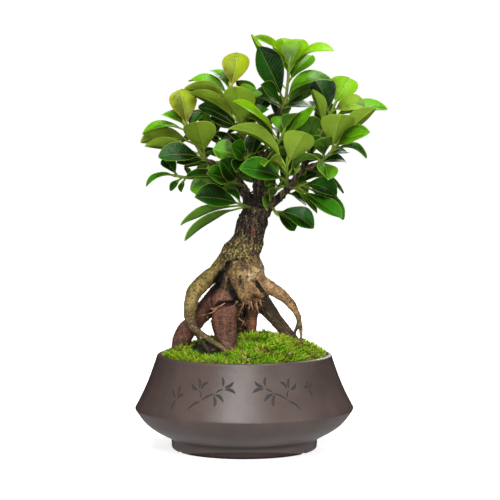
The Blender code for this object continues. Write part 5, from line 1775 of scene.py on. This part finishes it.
dice = random.Random(LEAF_SEED)
age_dice = random.Random(AGE_SEED)
bent = {name: bent_leaves(name, dice, age_dice) for name in placed}
crown_places = np.concatenate([shoot[0] for shoot in bent.values()])
first_points = np.cumsum([0] + [len(shoot[0]) for shoot in bent.values()])
crown_faces = np.concatenate([shoot[1] + first
                              for shoot, first in zip(bent.values(), first_points)])
crown_tree = BVHTree.FromPolygons(crown_places.tolist(), crown_faces.tolist())
print("crown:", len(crown_faces), "faces")

# %% Build the shoots
CROWN_RAYS = 10
CROWN_REACH = 32 * MM
CROWN_START = 1.6 * MM


def crown_shelter(places):
    """How densely leaves surround each point, from 0 to 1."""
    blocked = np.zeros(len(places))
    for course in all_round(CROWN_RAYS):
        starts = (places + course * CROWN_START).tolist()
        for index, start in enumerate(starts):
            found = crown_tree.ray_cast(start, course.tolist(), CROWN_REACH)[3]
            if found is not None:
                blocked[index] += 1 - found / CROWN_REACH
    return blocked / CROWN_RAYS


for name, (places, faces, marks, tints) in bent.items():
    shoot = mesh_piece(name + "_leaves", places, faces.tolist())
    mark(shoot, "blade", "FLOAT_VECTOR", marks)
    mark(shoot, "tint", "FLOAT_COLOR", tints)
    leaf_count = len(places) // len(LEAF_ALONG)
    tops = np.tile(~LEAF_BELOW, leaf_count)
    parts = np.tile(LEAF_ALONG, leaf_count)
    # The crowding of leaves round each point is stored for the painted shade in the leaf's shader.
    mark(shoot, "lie", "FLOAT_VECTOR", np.column_stack([tops, parts, crown_shelter(places)]))
    shoot.data.materials.append(leaf_finish.material)
    face_outward(shoot)
    if name in stems:
        shoot = join_all([shoot, stem_piece(name + "_stem", stems[name])])
    shade_round(shoot, LEAF_ANGLE)
    hand_over(shoot, name.replace("spray", "shoot"), "leaf", *[name] * (name in stems))

# %% [markdown]
# ## The moss cushion
#
# Under the moss lies a low dome of soil that is bare in one hollow between the roots. The dome is
# turned like the pot, and then each of its points takes the height that a formula gives for its
# place. It lies a little lower than the solid moss, because the shoots on it reach up to that
# height.

# %% Shape the bed
MOSS_EDGE_Z = 92.6
MOSS_EDGE_RADIUS = 82.0
MOSS_RISE = 23.5
MOSS_FULLNESS = 0.66
MOSS_CROWN_SHIFT = 16.0
MOSS_HOLLOW_X = -23.0
MOSS_HOLLOW_Y = -29.0
MOSS_HOLLOW_WIDTH = 17.0
MOSS_HOLLOW_DEPTH = 13.0
MOSS_BUMP = 1.4
BED_DROP = 6.2
BED_RINGS = 44
BED_SIDES = 180
BED_UNDER = 6.0


def moss_height(x, y):
    """The solid moss's top in millimetres, for places on the pot's axis frame."""
    radius = np.minimum(np.hypot(x, y) / MOSS_EDGE_RADIUS, 1.0)
    shifted = np.hypot(x - MOSS_CROWN_SHIFT * (1 - radius), y) / MOSS_EDGE_RADIUS
    dome = MOSS_RISE * np.maximum(1 - shifted ** 2, 0.0) ** MOSS_FULLNESS
    dome = dome - MOSS_HOLLOW_DEPTH * hollow_share(x, y) * (1 - radius ** 4)
    bumps = np.sin(0.16 * x + 1.3) * np.cos(0.19 * y) + 0.6 * np.sin(0.31 * x - 0.27 * y)
    return MOSS_EDGE_Z + dome + MOSS_BUMP * bumps * (1 - radius ** 4)


def hollow_share(x, y):
    """How much a place lies in the hollow, up to 1."""
    apart = np.hypot((x - MOSS_HOLLOW_X) / MOSS_HOLLOW_WIDTH,
                     (y - MOSS_HOLLOW_Y) / MOSS_HOLLOW_WIDTH)
    return np.exp(-apart ** 2 / 2)


profile = [(MOSS_EDGE_RADIUS * ring / BED_RINGS, MOSS_EDGE_Z) for ring in range(1, BED_RINGS + 1)]
profile = [(0.0, MOSS_EDGE_Z)] + profile
profile += [(MOSS_EDGE_RADIUS, MOSS_EDGE_Z - BED_UNDER), (0.0, MOSS_EDGE_Z - BED_UNDER)]
bed = turned("bed", profile, BED_SIDES, closed=False)
places = points_of(bed) / MM
x = places[:, 0] - POT_AXIS_X / MM
crumbs = 0.9 * np.sin(1.1 * x + 2.0 * np.sin(0.7 * places[:, 1])) * np.sin(1.3 * places[:, 1])
on_top = places[:, 2] > MOSS_EDGE_Z - BED_UNDER / 2
places[:, 2] += moss_height(x, places[:, 1]) - MOSS_EDGE_Z - BED_DROP
places[:, 2] += np.where(on_top, crumbs, 0.0)
move_points(bed, places * MM)
print("bed:", len(bed.data.polygons), "faces")

# %% [markdown]
# ## Moss shoots
#
# Star moss is a crowd of small shoots, each with a rosette of narrow pointed leaves. One shoot is
# modelled with few faces: a slim three-sided spike, bent once, and copied around a stem. About
# two thousand copies are set on the bed in the spiral of a sunflower, which spreads them evenly,
# and each gets its own turn, lean, size and tone. Each spike is painted darker towards its foot,
# as shade deep in the cushion.

# %% Model one moss shoot
SPIKES = 6
SPIKE_LENGTH = 8.6
SPIKE_WIDTH = 0.86
MOSS_SHOOTS = 2500
MOSS_PIECES = 2
MOSS_OVER_RIM = 96.6
MOSS_REACH = 84.6
BARE_MIDDLE = (212, 350)
BARE_REACH = (27, 12)
BARE_BACK = 20
MOSS_SEED = 11
MOSS_TONES = (tone(176, 230, 30), tone(206, 242, 60), tone(120, 194, 22), tone(230, 236, 120),
              tone(168, 120, 66))
MOSS_SHARES = (0.36, 0.24, 0.26, 0.08, 0.06)


def spike():
    """A three-sided spike of length 1 that bends over to one side."""
    bpy.ops.object.select_all(action="DESELECT")
    bpy.ops.mesh.primitive_cone_add(vertices=3, radius1=1.0, radius2=0.0, depth=1.0,
                                    end_fill_type="NOTHING", location=(0.0, 0.0, 0.5))
    piece = bpy.context.object
    bpy.ops.object.mode_set(mode="EDIT")
    bpy.ops.mesh.select_all(action="SELECT")
    bpy.ops.mesh.bisect(plane_co=(0.0, 0.0, 0.5), plane_no=(0.0, 0.0, 1.0))
    bpy.ops.object.mode_set(mode="OBJECT")
    set_down(piece)
    return taken_apart(piece)


def swung(x, y, turn):
    """Level places, turned about the upright by an angle."""
    return x * np.cos(turn) - y * np.sin(turn), x * np.sin(turn) + y * np.cos(turn)


def moss_shoot():
    """One rosette: its points, its faces, and how high each point stands."""
    spike_places, spike_faces = spike()
    dice = random.Random(MOSS_SEED)
    places = []
    faces = []
    for index in range(SPIKES):
        first = len(places) * len(spike_places)
        lean = 0.15 if index == 0 else dice.uniform(0.7, 1.2)
        length = SPIKE_LENGTH * dice.uniform(0.8, 1.1)
        width = SPIKE_WIDTH * (1.0 + 1.7 * spike_places[:, 2])
        x = spike_places[:, 0] * width + length * lean * spike_places[:, 2] ** 1.5
        y = spike_places[:, 1] * width
        z = spike_places[:, 2] * length * (1 - 0.4 * lean * spike_places[:, 2])
        places.append(np.stack([*swung(x, y, GOLDEN_ANGLE * index), z], 1))
        faces += [[corner + first for corner in face] for face in spike_faces]
    return np.concatenate(places), faces, np.tile(spike_places[:, 2], SPIKES)


shoot_places, shoot_faces, shoot_rise = moss_shoot()
print("one moss shoot:", len(shoot_faces), "faces")

# %% Set the shoots on the bed
MOSS_SCATTER = 0.5
EDGE_ROOM = 0.3
TRUNK_ROOM = 0.4 * MM
BARE_FADE = (0.5, 1.3)
MOSS_LEAN = 0.34
EDGE_LEAN = 0.35
SHOOT_LIGHTS = (0.25, 1.55)
STRAND_LIGHTS = (0.45, 1.5)
LIGHTEST = 0.9

dice = np.random.default_rng(MOSS_SEED)
order = np.arange(MOSS_SHOOTS)
radius = np.sqrt((order + 0.5) / MOSS_SHOOTS) * MOSS_EDGE_RADIUS
radius = np.minimum(radius + dice.normal(0, MOSS_SCATTER, MOSS_SHOOTS),
                    MOSS_EDGE_RADIUS - EDGE_ROOM)
angle = order * GOLDEN_ANGLE + dice.normal(0, MOSS_SCATTER, MOSS_SHOOTS) / np.maximum(radius, 1)
foot_x = radius * np.cos(angle)
foot_y = radius * np.sin(angle)
trunk_tree = search_tree(trunk)


def clear_of_trunk(x, y, z):
    """Whether a moss shoot has room beside the trunk and the roots."""
    point = Vector((POT_AXIS_X + x * MM, y * MM, z * MM))
    nearest, normal, _, apart = trunk_tree.find_nearest(point)
    outside = (point - nearest).dot(normal) > 0
    return outside and apart > TRUNK_ROOM


foot_z = moss_height(foot_x, foot_y) - BED_DROP
foot_view = in_view(np.stack([POT_AXIS_X / MM + foot_x, foot_y, foot_z], 1) * MM)
off_bare = np.square((foot_view - np.array(BARE_MIDDLE)) / np.array(BARE_REACH)).sum(1)
bare = (off_bare < dice.uniform(*BARE_FADE, MOSS_SHOOTS)) & (foot_y < BARE_BACK)
keep = np.array([not empty and clear_of_trunk(x, y, z)
                 for x, y, z, empty in zip(foot_x, foot_y, foot_z, bare)])
kept = np.flatnonzero(keep)
edge = (radius / MOSS_EDGE_RADIUS) ** 8
lean_x = EDGE_LEAN * np.cos(angle) * edge + dice.normal(0, MOSS_LEAN, MOSS_SHOOTS)
lean_y = EDGE_LEAN * np.sin(angle) * edge + dice.normal(0, MOSS_LEAN, MOSS_SHOOTS)
turns = dice.uniform(0, math.tau, MOSS_SHOOTS)
patch = np.sin(foot_x * 0.21 + 1.0) * np.cos(foot_y * 0.17) + dice.normal(0, 0.35, MOSS_SHOOTS)
sizes = 0.95 + 0.22 * np.clip(patch, -1.5, 1.5)
kinds = dice.choice(len(MOSS_TONES), MOSS_SHOOTS, p=MOSS_SHARES)
lights = dice.uniform(*SHOOT_LIGHTS, MOSS_SHOOTS)
strand_lights = np.repeat(dice.uniform(*STRAND_LIGHTS, SPIKES), len(shoot_places) // SPIKES)
moss_tones = np.array(MOSS_TONES)[:, :3]

moss = Shader("moss")
strand = moss.noise(moss.place(), 900.0, 2.0)
colour = moss.shaded(moss.own("tint", "Color"), 0.8 + 0.4 * strand)
moss.surface.inputs["Specular IOR Level"].default_value = 0.2
moss.finish(Base_Color=colour, Roughness=0.6 + 0.25 * strand)


def moss_piece(name, chosen):
    """Many moss shoots as one piece."""
    size = sizes[chosen, None]
    x, y = swung(shoot_places[:, 0], shoot_places[:, 1], turns[chosen, None])
    z = np.broadcast_to(shoot_places[:, 2], x.shape)
    x = (x + lean_x[chosen, None] * z) * size + foot_x[chosen, None]
    y = (y + lean_y[chosen, None] * z) * size + foot_y[chosen, None]
    z = z * size + foot_z[chosen, None]
    away = np.hypot(x, y)
    inside = np.minimum(away, np.where(z > MOSS_OVER_RIM, MOSS_REACH, MOSS_EDGE_RADIUS)) / away
    places = np.stack([POT_AXIS_X + x * inside * MM, y * inside * MM, z * MM], 2).reshape(-1, 3)
    faces = []
    for index in range(len(chosen)):
        first = index * len(shoot_places)
        faces += [[corner + first for corner in face] for face in shoot_faces]
    piece = mesh_piece(name, places, faces)
    # Painted shade: each spike darkens towards its foot, deep in the cushion.
    shade = (0.01 + 1.3 * shoot_rise ** 1.2)[None, :, None] * moss_tones[kinds[chosen]][:, None, :]
    shade = np.minimum(shade * lights[chosen, None, None] * strand_lights[None, :, None], LIGHTEST)
    mark(piece, "tint", "FLOAT_COLOR", np.concatenate(
        [shade.reshape(-1, 3), np.ones((shade.shape[0] * shade.shape[1], 1))], 1))
    piece.data.materials.append(moss.material)
    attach(piece, "root")
    piece.data.calc_loop_triangles()
    print(name, "has", len(piece.data.loop_triangles), "triangles")


for index in range(MOSS_PIECES):
    moss_piece("moss_shoots_%d" % index, kept[index::MOSS_PIECES])

# %% [markdown]
# ## Soil
#
# What shows between the moss shoots is dark crumbly soil with bits of old moss. The bed and the
# soil under it share the finish.

# %% Mix the soil and finish the bed
earth = Shader("earth")
where = earth.place()
crumb = earth.cells(where, 420.0)
fibre = earth.noise(where, 260.0, 5.0, 0.7)
colour = earth.mix(earth.step(fibre, 0.35, 0.7), tone(26, 20, 14), tone(62, 46, 32))
colour = earth.mix(0.6 * earth.step(earth.noise(where, 90.0, 3.0), 0.45, 0.65), colour,
                   tone(52, 62, 20))
relief = earth.bump(crumb, 0.0012)
relief = earth.bump(fibre, 0.0008, relief)
earth.finish(Base_Color=colour, Roughness=0.9 + 0.08 * fibre, Normal=relief)
bed.data.materials.append(earth.material)
pick(bed)
bpy.ops.object.shade_smooth()
hand_over(bed, "moss_bed", "soil", "moss")
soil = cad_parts["soil"]
soil.data.materials.clear()
soil.data.materials.append(earth.material)

# %% [markdown]
# ## Root hairs
#
# Fine tan fibres hang under the swollen crown and between the roots. Each is a thin rod that starts
# by the bark and falls with a few bends. The few thick ones that stand out are drawn point by
# point in the front view.

# %% Hang the root hairs
HAIRS = (
    # column, row and nearer of a tuft, number of hairs, length and spread in millimetres
    (257, 300, 10, 9, 15.0, 9.0), (249, 301, 8, 7, 11.0, 6.0), (236, 300, 10, 6, 13.0, 8.0),
    (243, 302, 0, 9, 16.0, 10.0), (208, 318, 6, 4, 11.0, 8.0), (262, 306, -2, 5, 12.0, 7.0),
    (215, 350, 10, 8, 13.0, 14.0), (241, 309, 8, 5, 14.0, 5.0), (240, 316, 6, 4, 12.0, 4.0),
)
TWIGS = (
    # column, row and nearer of points along a twig, and its thickness at the start in millimetres
    (((225, 303, 18), (217, 308.5, 19), (211, 313, 19), (198, 316, 18)), 1.5),
    (((238, 301, 19), (234, 305.5, 21), (230, 309, 22)), 1.1),
    (((219, 306, 18), (213, 309, 20), (207, 308, 21)), 0.9),
    (((214, 311, 18), (211, 307, 20), (209, 303, 20)), 0.8),
    (((248, 301, 20), (249.5, 306, 21), (248, 311, 20)), 2.2),
    (((251, 301, 20), (252, 306, 21), (253, 310, 20)), 1.8),
    (((256, 300, 19), (257, 307, 20), (259, 314, 18)), 2.2),
    (((260, 299, 18), (261.5, 305, 18), (262, 309, 17)), 1.5),
    (((244, 303, 18), (242, 308, 19), (238, 312, 19)), 1.0),
    (((238, 318, 16), (242, 321, 18), (246, 326, 17)), 0.9),
    (((240, 329, 12), (243, 323, 16), (245, 318, 16)), 0.8),
)
HAIR_SEED = 3
HAIR_BENDS = 5
HAIR_THICKNESS = (0.22, 0.5)
HAIR_TAPER = 0.75
TWIG_STEPS = 4
TWIG_TAPER = 0.7
hair_dice = random.Random(HAIR_SEED)
hairs = []
for column, row, nearer, count, length, spread in HAIRS:
    for _ in range(count):
        point = seen(column + hair_dice.uniform(-spread, spread) / 2,
                     row + hair_dice.uniform(-3, 3), nearer)
        course = Vector((hair_dice.uniform(-1, 1), hair_dice.uniform(-0.9, 0.3),
                         hair_dice.uniform(-1.2, 0.1)))
        centres = [point]
        for bend in range(HAIR_BENDS):
            course += Vector([hair_dice.uniform(-0.5, 0.5) for _ in range(3)])
            centres.append(centres[-1] + course.normalized() * (length / HAIR_BENDS * MM))
        thick = hair_dice.uniform(*HAIR_THICKNESS)
        radii = [thick * (1 - HAIR_TAPER * index / HAIR_BENDS) * MM
                 for index in range(HAIR_BENDS + 1)]
        hairs.append(rod("hair", centres, radii, 1))
for path, thickness in TWIGS:
    centres = [seen(*point) for point in smooth_path(path, TWIG_STEPS)]
    radii = [thickness / 2 * (1 - TWIG_TAPER * index / len(centres)) * MM
             for index in range(len(centres))]
    hairs.append(rod("twig", centres, radii, 2))
root_hairs = join_all(hairs)
root_hairs.name = "root_hairs"
root_hairs.data.name = "root_hairs"
fibre_finish = Shader("fibre")
where = fibre_finish.place()
age = fibre_finish.step(fibre_finish.noise(where, 130.0), 0.40, 0.60)
colour = fibre_finish.mix(age, tone(50, 34, 25), tone(204, 154, 112))
fibre_finish.finish(Base_Color=colour, Roughness=0.7)
root_hairs.data.materials.append(fibre_finish.material)
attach(root_hairs, "root")
print("root hairs:", len(hairs))
